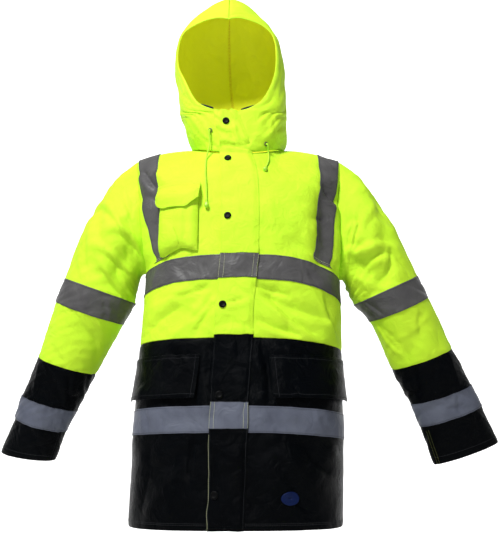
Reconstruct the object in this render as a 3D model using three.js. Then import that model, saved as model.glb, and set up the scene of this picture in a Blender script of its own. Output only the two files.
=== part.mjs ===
// A hooded hi-vis work jacket (parka), hollow, filled out as it is worn: lime-yellow upper, black lower,
// silver reflective tape, set-in sleeves, stand collar, two-panel hood, storm flap with snaps, pockets.
// Millimetres, +Z up, the front faces -Y, +X is the wearer's left. The origin is the middle of the
// shoulders at the foot of the neck. Every cloth piece is a wall made from one of four surfaces
// (torso, sleeve, hood, collar), and what is sewn on a panel is made from that panel's points, moved out.
import * as THREE from "three";

// Driving dimensions
const CLOTH = 2.4; // padded shell wall
const SEAM = 0.3; // gap between neighbouring pieces
const TAPE = { width: 50.8, thick: 1.0 };
const FLAP_CLOTH = 1.8; // storm flap and pocket flaps
const SKIN = CLOTH / 2; // from a panel's middle surface to its face
const ON_PANEL = SKIN + SEAM; // where a piece sewn flat on a panel starts
const OVER_TAPE = ON_PANEL + TAPE.thick + 0.7; // where a piece that also covers tape starts
const HEM_Z = -802;
const COLOUR_SEAM_Z = -440;
const CHEST_TAPE_TOP_Z = -272;
const HEM_TAPE_TOP_Z = -572;
const PIT_ABOVE_TAPE = 8; // the armhole's foot above the chest tape
const NECK = { centre: -5, half: 96, frontZ: -38, backZ: 8, sideZ: -3, bump: 60 };
const SQUARENESS = 0.15; // how far the torso's plan is from an ellipse
const ROOF_HEIGHT = 130; // how far below the shoulder line the shoulders round over
const ARMHOLE_ROWS = 8; // rows from the armhole's foot to the shoulder tip
const DEGREE = Math.PI / 180;

// Plan of the body at each height: shift and half width in X, depth to the front and to the back
const TORSO = [
  { z: -802, shift: -7, half: 216, front: 152, back: 142 },
  { z: -626, shift: -2, half: 216, front: 154, back: 140 },
  { z: -490, shift: 1, half: 213, front: 151, back: 137 },
  { z: -380, shift: 5, half: 210, front: 149, back: 137 },
  { z: -300, shift: 6, half: 207, front: 146, back: 139 },
  { z: -200, shift: 2, half: 213, front: 139, back: 139 },
  { z: -110, shift: -2, half: 226, front: 124, back: 127 },
  { z: -40, shift: -3, half: 233, front: 98, back: 98 },
  { z: 60, shift: -3, half: 235, front: 84, back: 60 },
];
// Height of the shoulder line out from the neck
const SHOULDER = [
  { out: 0, z: -3 },
  { out: 96, z: -3 },
  { out: 130, z: -4 },
  { out: 178, z: -12 },
  { out: 230, z: -27 },
];
// Armhole edge: share of the body's half width at each share of the way up from the armhole's foot
const ARMHOLE = [
  { rise: 0, reach: 1 },
  { rise: 0.1, reach: 0.985 },
  { rise: 0.3, reach: 0.965 },
  { rise: 0.55, reach: 0.957 },
  { rise: 0.8, reach: 0.96 },
  { rise: 1, reach: 0.962 },
];
// Brace tape: width of the yellow strip between the tape and the armhole edge
const BRACE_STRIP = [
  { rise: 0, strip: 82 },
  { rise: 0.1, strip: 48 },
  { rise: 0.3, strip: 25 },
  { rise: 0.55, strip: 16 },
  { rise: 0.8, strip: 10 },
  { rise: 1, strip: 3 },
];
// Storm flap, which also sets the line where the two fronts meet
const STORM_FLAP = [
  { z: -802, centre: -24, half: 34 },
  { z: -626, centre: -19, half: 37 },
  { z: -545, centre: -16.5, half: 37 },
  { z: -440, centre: -9.5, half: 38 },
  { z: -386, centre: -9.5, half: 38 },
  { z: -330, centre: -4, half: 38 },
  { z: -272, centre: 0.5, half: 38.5 },
  { z: -110, centre: 0, half: 39 },
  { z: -38, centre: -8, half: 34 },
  { z: 62, centre: -31, half: 25 },
];
// Sleeves: the outer and the under-arm line, how far back the middle hangs, and the half depth
const SLEEVE = {
  right: [
    { run: 0, outX: -226, outZ: -26, inX: -202, inZ: -282, y: 0, depth: 54 },
    { run: 60, outX: -280, outZ: -77, inX: -214, inZ: -284, y: 0, depth: 63 },
    { run: 120, outX: -334, outZ: -168, inX: -222, inZ: -306, y: 3, depth: 68 },
    { run: 184, outX: -378, outZ: -289, inX: -231, inZ: -342, y: 12, depth: 66 },
    { run: 237, outX: -397, outZ: -338, inX: -254, inZ: -388, y: 20, depth: 62 },
    { run: 357, outX: -435, outZ: -455, inX: -313, inZ: -493, y: 43, depth: 54 },
    { run: 445, outX: -468, outZ: -535, inX: -354, inZ: -569, y: 61, depth: 48 },
    { run: 495, outX: -485, outZ: -583, inX: -377, inZ: -613, y: 71, depth: 44 },
    { run: 568, outX: -518, outZ: -656, inX: -401, inZ: -674, y: 88, depth: 34 },
  ],
  left: [
    { run: 0, outX: 221, outZ: -26, inX: 214, inZ: -294, y: 0, depth: 54 },
    { run: 60, outX: 271, outZ: -71, inX: 227, inZ: -296, y: 0, depth: 63 },
    { run: 120, outX: 330, outZ: -166, inX: 236, inZ: -318, y: 3, depth: 68 },
    { run: 184, outX: 385, outZ: -283, inX: 249, inZ: -345, y: 12, depth: 65 },
    { run: 237, outX: 407, outZ: -328, inX: 284, inZ: -381, y: 20, depth: 60 },
    { run: 357, outX: 460, outZ: -436, inX: 331, inZ: -483, y: 43, depth: 51 },
    { run: 445, outX: 501, outZ: -513, inX: 371, inZ: -556, y: 61, depth: 42 },
    { run: 495, outX: 524, outZ: -559, inX: 392, inZ: -603, y: 71, depth: 37 },
    { run: 568, outX: 562, outZ: -636, inX: 421, inZ: -684, y: 88, depth: 26 },
  ],
};
const SLEEVE_SEAM_RUN = 357; // where the sleeve changes from lime to black
// Hood: each level is an arc from the front edge round to the back seam. right and left are the angles
// of the two front edges from straight ahead; zFront, zSide and zBack are its heights
const HOOD = namedRows("t centre half mid fore aft right left zFront zSide zBack", [
  [0, -7, 98, -17, 80, 79, 1.5, 1.5, -33, 0, 11],
  [0.1, -8, 110, -12, 87, 88, 1.5, 1.5, 8, 28, 40],
  [0.18, -11, 115, -6, 93, 96, 2, 2, 52, 60, 72],
  [0.22, -13, 117, -4, 95, 100, 22, 14, 63, 72, 86],
  [0.28, -15, 119, -1, 97, 104, 37, 28, 84, 90, 102],
  [0.4, -19, 121, 6, 98, 110, 53, 45, 146, 142, 150],
  [0.55, -25, 124, 10, 98, 112, 66, 54, 196, 200, 208],
  [0.7, -28, 118, 12, 94, 104, 63, 58, 250, 258, 268],
  [0.82, -29, 99, 14, 90, 84, 50, 52, 256, 306, 318],
  [0.91, -28, 64, 18, 88, 58, 38, 38, 272, 348, 356],
  [0.96, -26, 34, 20, 88, 34, 26, 26, 282, 375, 378],
  [1, -25, 0.6, 22, 90, 12, 12, 12, 287, 391, 392],
]);
// Folds, as soft ridges (depth above 0) and troughs (below 0) along a line on the cloth
const TORSO_FOLDS = [
  { face: 1, x1: -182, z1: -120, x2: -172, z2: -285, width: 20, depth: -9 },
  { face: 1, x1: -205, z1: -150, x2: -200, z2: -262, width: 13, depth: 7 },
  { face: 1, x1: 184, z1: -115, x2: 170, z2: -290, width: 20, depth: -9 },
  { face: 1, x1: 208, z1: -150, x2: 206, z2: -275, width: 13, depth: 7 },
  { face: 1, x1: 60, z1: -345, x2: 150, z2: -405, width: 22, depth: -5 },
  { face: 1, x1: -70, z1: -350, x2: -140, z2: -420, width: 22, depth: -5 },
  { face: 1, x1: -90, z1: -655, x2: -170, z2: -700, width: 26, depth: -7 },
  { face: 1, x1: 70, z1: -650, x2: 150, z2: -720, width: 28, depth: 6 },
  { face: -1, x1: -90, z1: -350, x2: 80, z2: -372, width: 26, depth: -6 },
  { face: -1, x1: -30, z1: -500, x2: -60, z2: -760, width: 30, depth: 7 },
  { face: -1, x1: 90, z1: -480, x2: 120, z2: -770, width: 30, depth: -7 },
  { face: -1, x1: -150, z1: -150, x2: -165, z2: -290, width: 20, depth: -8 },
  { face: -1, x1: 155, z1: -150, x2: 168, z2: -295, width: 20, depth: -8 },
];
// On a sleeve, turn is degrees from the outer line (90 front, 180 under the arm, 270 back)
const SLEEVE_FOLDS = {
  right: [
    { turn1: 20, run1: 92, turn2: 95, run2: 120, width: 15, depth: -8 },
    { turn1: 110, run1: 55, turn2: 80, run2: 110, width: 16, depth: 7 },
    { turn1: 130, run1: 62, turn2: 118, run2: 150, width: 16, depth: -9 },
    { turn1: 60, run1: 150, turn2: 130, run2: 172, width: 13, depth: -6 },
    { turn1: 95, run1: 268, turn2: 140, run2: 285, width: 14, depth: -5 },
    { turn1: 230, run1: 90, turn2: 280, run2: 130, width: 18, depth: -7 },
    { turn1: 200, run1: 290, turn2: 260, run2: 330, width: 18, depth: -5 },
  ],
  left: [
    { turn1: 15, run1: 90, turn2: 70, run2: 125, width: 15, depth: -7 },
    { turn1: 120, run1: 55, turn2: 85, run2: 115, width: 15, depth: 7 },
    { turn1: 140, run1: 70, turn2: 95, run2: 165, width: 14, depth: -9 },
    { turn1: 60, run1: 140, turn2: 110, run2: 172, width: 12, depth: -5 },
    { turn1: 60, run1: 262, turn2: 120, run2: 335, width: 15, depth: -6 },
    { turn1: 225, run1: 95, turn2: 275, run2: 125, width: 18, depth: -7 },
    { turn1: 200, run1: 285, turn2: 255, run2: 325, width: 18, depth: -5 },
  ],
};
const CHEST_POCKET = { left: -165, right: -83, top: -148, foot: -264, bulge: 15 };
const CHEST_POCKET_FLAP = { left: -171, right: -80, top: -114, foot: -174, chamfer: 20 };
const HIP_FLAP = { innerX: 74, top: -473, foot: -557, lift: 7, sideAngle: 86 };
const SNAP = { radius: 7.5, height: 3 };
const SNAP_PLACES = [
  { x: -29, z: 31 },
  { x: -24, z: -56 },
  { x: -22.5, z: -192 },
  { x: -32, z: -376 },
  { x: -37, z: -552 },
  { x: -43.5, z: -738 },
];
const PATCH = { x: 97, z: -744, halfWidth: 17.5, halfHeight: 12.5, thick: 1.2 };
const CORD = { radius: 1.75, standOff: { right: 2.3, left: 0.8 } };
const CORD_END = { radius: 4.5, length: 14 };
const EYELET = { outer: 5, hole: 2.2, thick: 1.4, standOff: 1.1 };
// Drawcords: middle line in front view, from the eyelet down to the cord's end
const CORD_ROUTES = {
  right: [
    { x: -64, z: 14 },
    { x: -65.5, z: -14 },
    { x: -69, z: -50 },
    { x: -70, z: -88 },
    { x: -68.5, z: -122 },
    { x: -67, z: -158 },
  ],
  left: [
    { x: 57, z: -14 },
    { x: 60, z: -34 },
    { x: 60, z: -56 },
    { x: 55, z: -76 },
  ],
};

const COLOURS = {
  lime: { color: 0xc8f528, roughness: 0.75 },
  black: { color: 0x14161a, roughness: 0.8 },
  silver: { color: 0x8f9096, roughness: 0.45 },
  snap: { color: 0x0d0f12, roughness: 0.35 },
  navy: { color: 0x14254f, roughness: 0.7 },
  hook: { color: 0x1c2430, roughness: 0.9 },
  cord: { color: 0xbfe62e, roughness: 0.8 },
  cordEnd: { color: 0x9ddc2a, roughness: 0.4 },
};

const jacket = new THREE.Group();

// Table rows with their columns named
function namedRows(names, rows) {
  return rows.map((row) => Object.fromEntries(names.split(" ").map((name, i) => [name, row[i]])));
}

// A table's columns at one value of its key column, smooth through every row and straight beyond the ends
function rowAt(table, key, at) {
  const last = table.length - 2;
  let i = 0;
  while (i < last && at > table[i + 1][key]) i++;
  const [a, b] = [table[i], table[i + 1]];
  const span = b[key] - a[key];
  const u = (at - a[key]) / span;
  const slopeAt = (j, name) => {
    const [lo, hi] = [table[Math.max(0, j - 1)], table[Math.min(table.length - 1, j + 1)]];
    return (hi[name] - lo[name]) / (hi[key] - lo[key]);
  };
  const out = {};
  for (const name of Object.keys(a)) {
    const [p, q, m, n] = [a[name], b[name], slopeAt(i, name) * span, slopeAt(i + 1, name) * span];
    if (u < 0) out[name] = p + m * u;
    else if (u > 1) out[name] = q + n * (u - 1);
    else {
      const [u2, u3] = [u * u, u * u * u];
      out[name] = (2 * u3 - 3 * u2 + 1) * p + (u3 - 2 * u2 + u) * m + (3 * u2 - 2 * u3) * q + (u3 - u2) * n;
    }
  }
  return out;
}

const range = (count, from = 0, to = 1) =>
  Array.from({ length: count + 1 }, (_, i) => from + ((to - from) * i) / count);
const mix = (a, b, share) => a + (b - a) * share;
// Goes from 1 to 0, level at both ends
const fadeOut = (share) => (share >= 1 ? 0 : (1 - share) ** 2 * (1 + 2 * share));
// Share of the way up that spaces rows as the angles round a circle are
const roundRise = (j, count) => (1 - Math.cos((Math.PI * j) / count)) / 2;

// Across and ahead of a squared ellipse at an angle from straight ahead, each up to 1
const across = (angle) => Math.sin(angle) * (1 + SQUARENESS * Math.cos(angle) ** 2);
const ahead = (angle) => Math.cos(angle) * (1 + SQUARENESS * Math.sin(angle) ** 2);
// The angle from 0 to 90 degrees whose across is share
function angleOf(share) {
  const target = Math.min(Math.abs(share), 1);
  let [low, high] = [0, Math.PI / 2];
  for (let i = 0; i < 40; i++) {
    const middle = (low + high) / 2;
    if (across(middle) < target) low = middle;
    else high = middle;
  }
  return (Math.sign(share) || 1) * low;
}

// Distance in a plane from a point to a line piece
function segmentDistance(px, py, x1, y1, x2, y2) {
  const [dx, dy] = [x2 - x1, y2 - y1];
  const u = Math.max(0, Math.min(1, ((px - x1) * dx + (py - y1) * dy) / (dx * dx + dy * dy)));
  return Math.hypot(px - x1 - u * dx, py - y1 - u * dy);
}
const bump = (distance, width) => Math.exp(-((distance / width) ** 2));

// The shoulder line's height, with the hidden rise inside the neck that rounds the neckline
function ridgeZ(x) {
  const out = Math.abs(x - NECK.centre);
  const rise = out < NECK.half ? NECK.bump * (1 - (out / NECK.half) ** 2) ** 2 : 0;
  return rowAt(SHOULDER, "out", out).z + rise;
}
// How much of the body's depth is left at a height: 1 on the chest, 0 on the shoulder line
function roof(x, z) {
  const down = Math.max(0, Math.min(1, (ridgeZ(x) - z) / ROOF_HEIGHT));
  return Math.sqrt(1 - (1 - down) ** 2);
}
function torsoBase(angle, z) {
  const plan = rowAt(TORSO, "z", z);
  const x = plan.shift + plan.half * across(angle);
  const face = Math.cos(angle) >= 0 ? 1 : -1;
  const depth = face > 0 ? plan.front : plan.back;
  return new THREE.Vector3(x, -ahead(angle) * depth * roof(x, z) - (face * SEAM) / 2, z);
}
const NUDGE = { angle: 0.01, z: 1.5 };
function slopeNormal(surface, angle, z) {
  const du = surface(angle + NUDGE.angle, z).sub(surface(angle - NUDGE.angle, z));
  const dv = surface(angle, z + NUDGE.z).sub(surface(angle, z - NUDGE.z));
  return du.cross(dv).normalize();
}
// The torso's middle surface, folds included. Angle 0 is straight ahead, 90 degrees the wearer's left side
function torso(angle, z) {
  const point = torsoBase(angle, z);
  const face = Math.cos(angle) >= 0 ? 1 : -1;
  let out = 0;
  for (const fold of TORSO_FOLDS)
    if (fold.face === face) {
      const far = segmentDistance(point.x, z, fold.x1, fold.z1, fold.x2, fold.z2);
      out += fold.depth * bump(far, fold.width);
    }
  const quiet = Math.min(1, Math.abs(Math.cos(angle)) * 3); // folds fade at the side seam
  return Math.abs(out) < 1e-3 ? point : point.addScaledVector(slopeNormal(torsoBase, angle, z), out * quiet);
}
const torsoSpot = (angle, z) => ({ p: torso(angle, z), n: slopeNormal(torso, angle, z) });
// A spot of the torso at a given X
function torsoAtX(face, x, z) {
  const plan = rowAt(TORSO, "z", z);
  const angle = angleOf((x - plan.shift) / plan.half);
  return torsoSpot(face > 0 ? angle : Math.PI - angle, z);
}

// Heights that depend on X: the colour seam and the chest tape dip towards the sides
const colourSeamZ = (x) => COLOUR_SEAM_Z - (x > 0 ? 12 : 2) * (Math.abs(x) / 215) ** 2;
const chestTapeTopZ = (x) => CHEST_TAPE_TOP_Z - (x > 0 ? 30 : 18) * Math.min(1, Math.abs(x) / 208) ** 3;
const hemTapeTopZ = (x) => HEM_TAPE_TOP_Z - (x > 0 ? 10 : 3) * Math.min(1, Math.abs(x) / 212) ** 2;
const chestTapeFootZ = (x) => chestTapeTopZ(x) - TAPE.width;
const pitZ = (x) => chestTapeTopZ(x) + PIT_ABOVE_TAPE;
function panelTopZ(face, x) {
  const out = Math.abs(x - NECK.centre) / NECK.half;
  if (out >= 1) return ridgeZ(x);
  if (face > 0) return mix(NECK.frontZ, NECK.sideZ, out ** 2.5);
  return mix(NECK.backZ, NECK.sideZ, out ** 2);
}

// A row of the body: its height at each X and the angle where it ends at the side seam or the armhole
const levelRow = (heightAt) => ({ heightAt, rise: 0, reach: 1 });
const riseRow = (face, rise) => ({
  heightAt: (x) => mix(pitZ(x), panelTopZ(face, x), rise),
  rise,
  reach: rowAt(ARMHOLE, "rise", rise).reach,
});
function rowSpot(row, angle) {
  let z = row.heightAt(0);
  for (let i = 0; i < 8; i++) z = row.heightAt(torsoBase(angle, z).x);
  return { angle, z };
}
// Angles along a row, from the middle angle to its end, at the stated distances from the end
function anglesFromEnd(row, endAngle, middleAngle, distances) {
  const steps = 120;
  const walk = range(steps, endAngle, middleAngle).map((angle) => rowSpot(row, angle));
  const points = walk.map(({ angle, z }) => torsoBase(angle, z));
  let gone = 0;
  const lengths = points.map((p, i) => (gone += i ? p.distanceTo(points[i - 1]) : 0));
  return distances.map((wanted) => {
    const target = typeof wanted === "function" ? wanted(gone) : wanted;
    let i = 1;
    while (i < steps && lengths[i] < target) i++;
    const share = (target - lengths[i - 1]) / Math.max(1e-6, lengths[i] - lengths[i - 1]);
    return mix(walk[i - 1].angle, walk[i].angle, Math.min(1, Math.max(0, share)));
  });
}

const BODY_COLUMNS = { middle: 5, brace: 2, strip: 2 };
const BODY_EDGE = BODY_COLUMNS.middle + BODY_COLUMNS.brace + BODY_COLUMNS.strip;
// Distances from the armhole edge: the strip, the brace tape, then the rest to the middle
function columnDistances(rise) {
  const strip = rowAt(BRACE_STRIP, "rise", rise).strip;
  const inner = strip + TAPE.width;
  return [
    ...range(BODY_COLUMNS.strip, 0, strip),
    ...range(BODY_COLUMNS.brace, strip, inner).slice(1),
    ...range(BODY_COLUMNS.middle).slice(1).map((share) => (whole) => mix(inner, whole, share)),
  ];
}
// One side of the front or back: a grid from the middle out to the edge. side -1 is the wearer's right
function bodySide(face, side, rows) {
  return rows.map((row) => {
    const edge = side * angleOf(row.reach);
    const flap = rowAt(STORM_FLAP, "z", row.heightAt(0));
    const plan = rowAt(TORSO, "z", row.heightAt(0));
    const middleX = face > 0 ? flap.centre + side * SEAM : plan.shift;
    const middle = angleOf((middleX - plan.shift) / plan.half);
    const turn = (angle) => (face > 0 ? angle : Math.PI - angle);
    const angles = anglesFromEnd(row, turn(edge), turn(middle), columnDistances(row.rise)).reverse();
    return angles.map((angle) => {
      const spot = torsoSpot(angle, rowSpot(row, angle).z);
      // on the shoulder line the front and the back both face straight up
      spot.n.y *= Math.min(1, (ridgeZ(spot.p.x) - spot.p.z) / 4);
      spot.n.normalize();
      return spot;
    });
  });
}

const UPPER_LEVELS = [
  ...range(3).map((share) => levelRow((x) => mix(colourSeamZ(x) + SEAM / 2, chestTapeFootZ(x), share))),
  levelRow(chestTapeTopZ),
];
const CHEST_TAPE_ROWS = [3, 4];
const upperRows = (face) => [
  ...UPPER_LEVELS,
  ...range(ARMHOLE_ROWS).map((_, j) => riseRow(face, roundRise(j, ARMHOLE_ROWS))),
];
const LOWER_ROWS = [
  ...range(3).map((share) => levelRow((x) => mix(HEM_Z, hemTapeTopZ(x) - TAPE.width, share))),
  levelRow(hemTapeTopZ),
  ...range(3).slice(1).map((share) => levelRow((x) => mix(hemTapeTopZ(x), colourSeamZ(x) - SEAM / 2, share))),
];
const HEM_TAPE_ROWS = [3, 4];

// The back is one piece, so its two sides are joined along the middle
const joinSides = (right, left) => right.map((row, j) => [...row.slice().reverse(), ...left[j].slice(1)]);
const body = {
  upper: {
    right: bodySide(1, -1, upperRows(1)),
    left: bodySide(1, 1, upperRows(1)),
    backRight: bodySide(-1, -1, upperRows(-1)),
    backLeft: bodySide(-1, 1, upperRows(-1)),
  },
  lower: {
    right: bodySide(1, -1, LOWER_ROWS),
    left: bodySide(1, 1, LOWER_ROWS),
    back: joinSides(bodySide(-1, -1, LOWER_ROWS), bodySide(-1, 1, LOWER_ROWS)),
  },
};

// Normals of a grid of points from its neighbours, pointing the way that outward(point) says
function withNormals(points, outward, closed = false) {
  const [rows, cols] = [points.length, points[0].length];
  const pick = (j, i) => {
    const c = closed ? (i + cols) % cols : Math.min(cols - 1, Math.max(0, i));
    return points[Math.min(rows - 1, Math.max(0, j))][c];
  };
  return points.map((row, j) =>
    row.map((p, i) => {
      const du = pick(j, i + 1).clone().sub(pick(j, i - 1));
      const dv = pick(j + 1, i).clone().sub(pick(j - 1, i));
      const n = du.cross(dv).normalize();
      return { p, n: n.dot(outward(p)) < 0 ? n.negate() : n };
    }),
  );
}
const moved = (grid, amountAt) =>
  grid.map((row, j) => row.map(({ p, n }, i) => p.clone().addScaledVector(n, amountAt(j, i))));

// The spots round an armhole: the shoulder tip, down the front, the foot, up the back. The front and
// the back both have a spot at the tip and at the foot
function armhole(side) {
  const names = side < 0 ? ["right", "backRight"] : ["left", "backLeft"];
  const edges = names.map((name) => body.upper[name].slice(UPPER_LEVELS.length).map((row) => row.at(-1)));
  const [front, back] = [edges[0].slice().reverse().map((spot) => [spot]), edges[1]];
  front[0].push(back.at(-1));
  front.at(-1).push(back[0]);
  return [...front, ...back.slice(1, -1).map((spot) => [spot])];
}
function sleeveRing(table, run) {
  const row = rowAt(table, "run", run);
  const middleAt = (at) => {
    const r = rowAt(table, "run", at);
    return new THREE.Vector3((r.outX + r.inX) / 2, r.y, (r.outZ + r.inZ) / 2);
  };
  const middle = middleAt(run);
  const axis = middleAt(run + 2).sub(middleAt(run - 2)).normalize();
  const reach = new THREE.Vector3((row.outX - row.inX) / 2, 0, (row.outZ - row.inZ) / 2);
  const forward = axis.clone().cross(reach).normalize();
  if (forward.y > 0) forward.negate();
  const pointAt = (turn) =>
    middle.clone().addScaledVector(reach, Math.cos(turn)).addScaledVector(forward, row.depth * Math.sin(turn));
  return { middle, pointAt };
}
const SLEEVE_ROWS = [
  0, 12, 30, 55, 85, 118, 151, 184, 237, 277, 317,
  SLEEVE_SEAM_RUN - SEAM / 2, SLEEVE_SEAM_RUN + SEAM / 2, 400, 445, 495, 530, 568,
];
const SLEEVE_SLICES = { upper: [0, 11], lower: [12, 17], tape: [7, 8], cuffTape: [14, 15] };
const ARMHOLE_BLEND = 150; // how far down the sleeve the armhole's own shape fades
const SLEEVE_COLUMNS = 2 * ARMHOLE_ROWS;
const SLEEVE_RADIUS = 62; // turns a fold's angle into a length
function sleeveGrid(side) {
  const name = side < 0 ? "right" : "left";
  const table = SLEEVE[name];
  const loop = armhole(side);
  const turns = range(SLEEVE_COLUMNS).slice(0, -1).map((share) => share * 2 * Math.PI);
  const edgeAt = (i) => loop[(i + loop.length) % loop.length][0];
  // from the body's edge across the seam, square to the seam and to the cloth's own direction
  const start = loop.map((_, i) => {
    const along = edgeAt(i + 1).p.clone().sub(edgeAt(i - 1).p);
    const away = along.cross(edgeAt(i).n).normalize().multiplyScalar(-side);
    return edgeAt(i).p.clone().addScaledVector(away, SEAM + 0.1);
  });
  const first = sleeveRing(table, 0);
  const points = SLEEVE_ROWS.map((run) => {
    const ring = sleeveRing(table, run);
    const keep = fadeOut(run / ARMHOLE_BLEND);
    return turns.map((turn, i) =>
      ring.pointAt(turn).addScaledVector(start[i].clone().sub(first.pointAt(turn)), keep));
  });
  const middles = SLEEVE_ROWS.map((run) => sleeveRing(table, run).middle);
  const nearestMiddle = (p) => middles.reduce((a, b) => (a.distanceTo(p) < b.distanceTo(p) ? a : b));
  const outward = (p) => p.clone().sub(nearestMiddle(p));
  const smooth = withNormals(points, outward, true);
  const folded = moved(smooth, (j, i) => {
    const turn = turns[i] / DEGREE;
    return SLEEVE_FOLDS[name].reduce((sum, f) => {
      const scale = SLEEVE_RADIUS * DEGREE;
      const [from, to] = [f.turn1 * scale, f.turn2 * scale];
      const far = segmentDistance(turn * scale, SLEEVE_ROWS[j], from, f.run1, to, f.run2);
      return sum + f.depth * bump(far, f.width) * (1 - fadeOut(SLEEVE_ROWS[j] / 50));
    }, 0);
  });
  const grid = withNormals(folded, outward, true);
  // At the armhole the sleeve and the body share one direction, so that their edges face each other
  grid[0].forEach((spot, i) => {
    const shared = spot.n.clone().add(loop[i][0].n).normalize();
    for (const { n } of [spot, ...loop[i]]) n.copy(shared);
  });
  return grid;
}

// The neckline at an angle from straight ahead, on the stated side
function neckline(side, angle) {
  const face = angle <= Math.PI / 2 ? 1 : -1;
  const x = NECK.centre + side * NECK.half * Math.min(0.9999, Math.sin(angle));
  return torsoAtX(face, x, panelTopZ(face, x));
}
const COLLAR = { frontHeight: 82, sideHeight: 62, backHeight: 60, lean: 7, inset: 1.2 };
const HOOD_OFF_COLLAR = CLOTH + SEAM + 2.6; // the walls lean towards each other at the neckline
const flatOut = (p) => new THREE.Vector3(p.x - NECK.centre, p.y + 17, 0).normalize();
function collarGrid() {
  const angles = range(10, 2 * DEGREE, Math.PI);
  const side = (s) =>
    range(3).map((share) =>
      angles.map((angle) => {
        const foot = neckline(s, angle).p;
        const weight = Math.abs(Math.cos(angle)) ** 1.5;
        const middleHeight = angle < Math.PI / 2 ? COLLAR.frontHeight : COLLAR.backHeight;
        const full = mix(COLLAR.sideHeight, middleHeight, weight);
        foot.z += ON_PANEL + 0.7 + full * share;
        return foot.addScaledVector(flatOut(foot), -COLLAR.inset - COLLAR.lean * share ** 1.5);
      }));
  const points = joinSides(side(-1), side(1));
  return withNormals(points, flatOut);
}

// The hood's outer surface: t is the level, angle runs from the front edge to 180 degrees at the back seam
function hoodBase(side, t, angle) {
  const level = rowAt(HOOD, "t", t);
  const forward = Math.max(0, Math.cos(angle));
  const behind = Math.max(0, -Math.cos(angle));
  const y = level.mid + (angle < Math.PI / 2 ? -level.fore : level.aft) * Math.abs(ahead(angle));
  const rise = (level.zFront - level.zSide) * forward ** 1.6 + (level.zBack - level.zSide) * behind ** 1.4;
  return new THREE.Vector3(level.centre + side * level.half * across(angle), y, level.zSide + rise);
}
const NECK_BLEND = 0.16; // level below which the hood takes up the neckline's shape
function hoodPoint(side, t, angle) {
  const point = hoodBase(side, t, angle);
  const keep = fadeOut(t / NECK_BLEND);
  if (keep === 0) return point;
  const foot = neckline(side, angle).p;
  foot.addScaledVector(flatOut(foot), HOOD_OFF_COLLAR).add(new THREE.Vector3(0, 0, 2.4));
  return point.addScaledVector(foot.sub(hoodBase(side, 0, angle)), keep);
}
const HOOD_LEVELS = [
  0, 0.04, 0.1, 0.18, 0.193, 0.208, 0.228, 0.255, 0.29, 0.34, 0.42, 0.51, 0.6, 0.69, 0.77, 0.84, 0.9, 0.95, 1,
];
const hoodEdge = (side, t) => rowAt(HOOD, "t", t)[side < 0 ? "right" : "left"] * DEGREE;
const HOOD_COLUMNS = 10;
const hoodRow = (side, t) => {
  const edge = hoodEdge(side, t);
  return range(HOOD_COLUMNS).map((share) => hoodPoint(side, t, mix(edge, Math.PI, share ** 0.92)));
};
function hoodGrid() {
  const centreOf = (p) => new THREE.Vector3(p.x + 20, p.y - 10, p.z < 120 ? 0 : p.z - 120);
  const apart = (row, side) => row.map((p, i) => (i === HOOD_COLUMNS ? p.setX(p.x + (side * SEAM) / 2) : p));
  const points = HOOD_LEVELS.map((t) => [...apart(hoodRow(-1, t), -1), ...apart(hoodRow(1, t), 1).reverse()]);
  const grid = withNormals(points, centreOf);
  for (const row of grid)
    for (const spot of [row[HOOD_COLUMNS], row[HOOD_COLUMNS + 1]]) spot.n.setX(0).normalize();
  for (const spot of grid.at(-1)) spot.n.setX(0).normalize();
  return grid;
}

// A closed wall between two offsets of part of a grid. turned says which squares are split the other way
function wall(name, grid, material, { rows, cols, from = -SKIN, to = SKIN, closed = false, turned } = {}) {
  const [r0, r1] = rows ?? [0, grid.length - 1];
  const [c0, c1] = cols ?? [0, grid[0].length - 1];
  const part = grid.slice(r0, r1 + 1).map((row) => row.slice(c0, c1 + 1));
  const [height, width] = [part.length, part[0].length];
  const positions = [];
  for (const offset of [from, to])
    for (const row of part) for (const { p, n } of row) positions.push(...p.clone().addScaledVector(n, offset));
  const at = (layer, j, i) => (layer * height + j) * width + (i % width);
  const faces = [];
  const quad = (a, b, c, d) => faces.push(a, b, c, a, c, d);
  const skin = (j, i, a, b, c, d) => (turned?.(j, i) ? quad(b, c, d, a) : quad(a, b, c, d));
  const lastColumn = closed ? width : width - 1;
  for (let j = 0; j < height - 1; j++)
    for (let i = 0; i < lastColumn; i++) {
      skin(j, i, at(1, j, i), at(1, j, i + 1), at(1, j + 1, i + 1), at(1, j + 1, i));
      skin(j, i, at(0, j, i), at(0, j + 1, i), at(0, j + 1, i + 1), at(0, j, i + 1));
    }
  for (let i = 0; i < lastColumn; i++) {
    quad(at(0, 0, i), at(0, 0, i + 1), at(1, 0, i + 1), at(1, 0, i));
    quad(at(0, height - 1, i), at(1, height - 1, i), at(1, height - 1, i + 1), at(0, height - 1, i + 1));
  }
  if (!closed)
    for (let j = 0; j < height - 1; j++) {
      quad(at(0, j, 0), at(1, j, 0), at(1, j + 1, 0), at(0, j + 1, 0));
      quad(at(0, j, width - 1), at(0, j + 1, width - 1), at(1, j + 1, width - 1), at(1, j, width - 1));
    }
  const geometry = new THREE.BufferGeometry();
  geometry.setAttribute("position", new THREE.Float32BufferAttribute(positions, 3));
  geometry.setIndex(facingOut(positions, faces));
  return addMesh(name, geometry, material);
}
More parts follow.
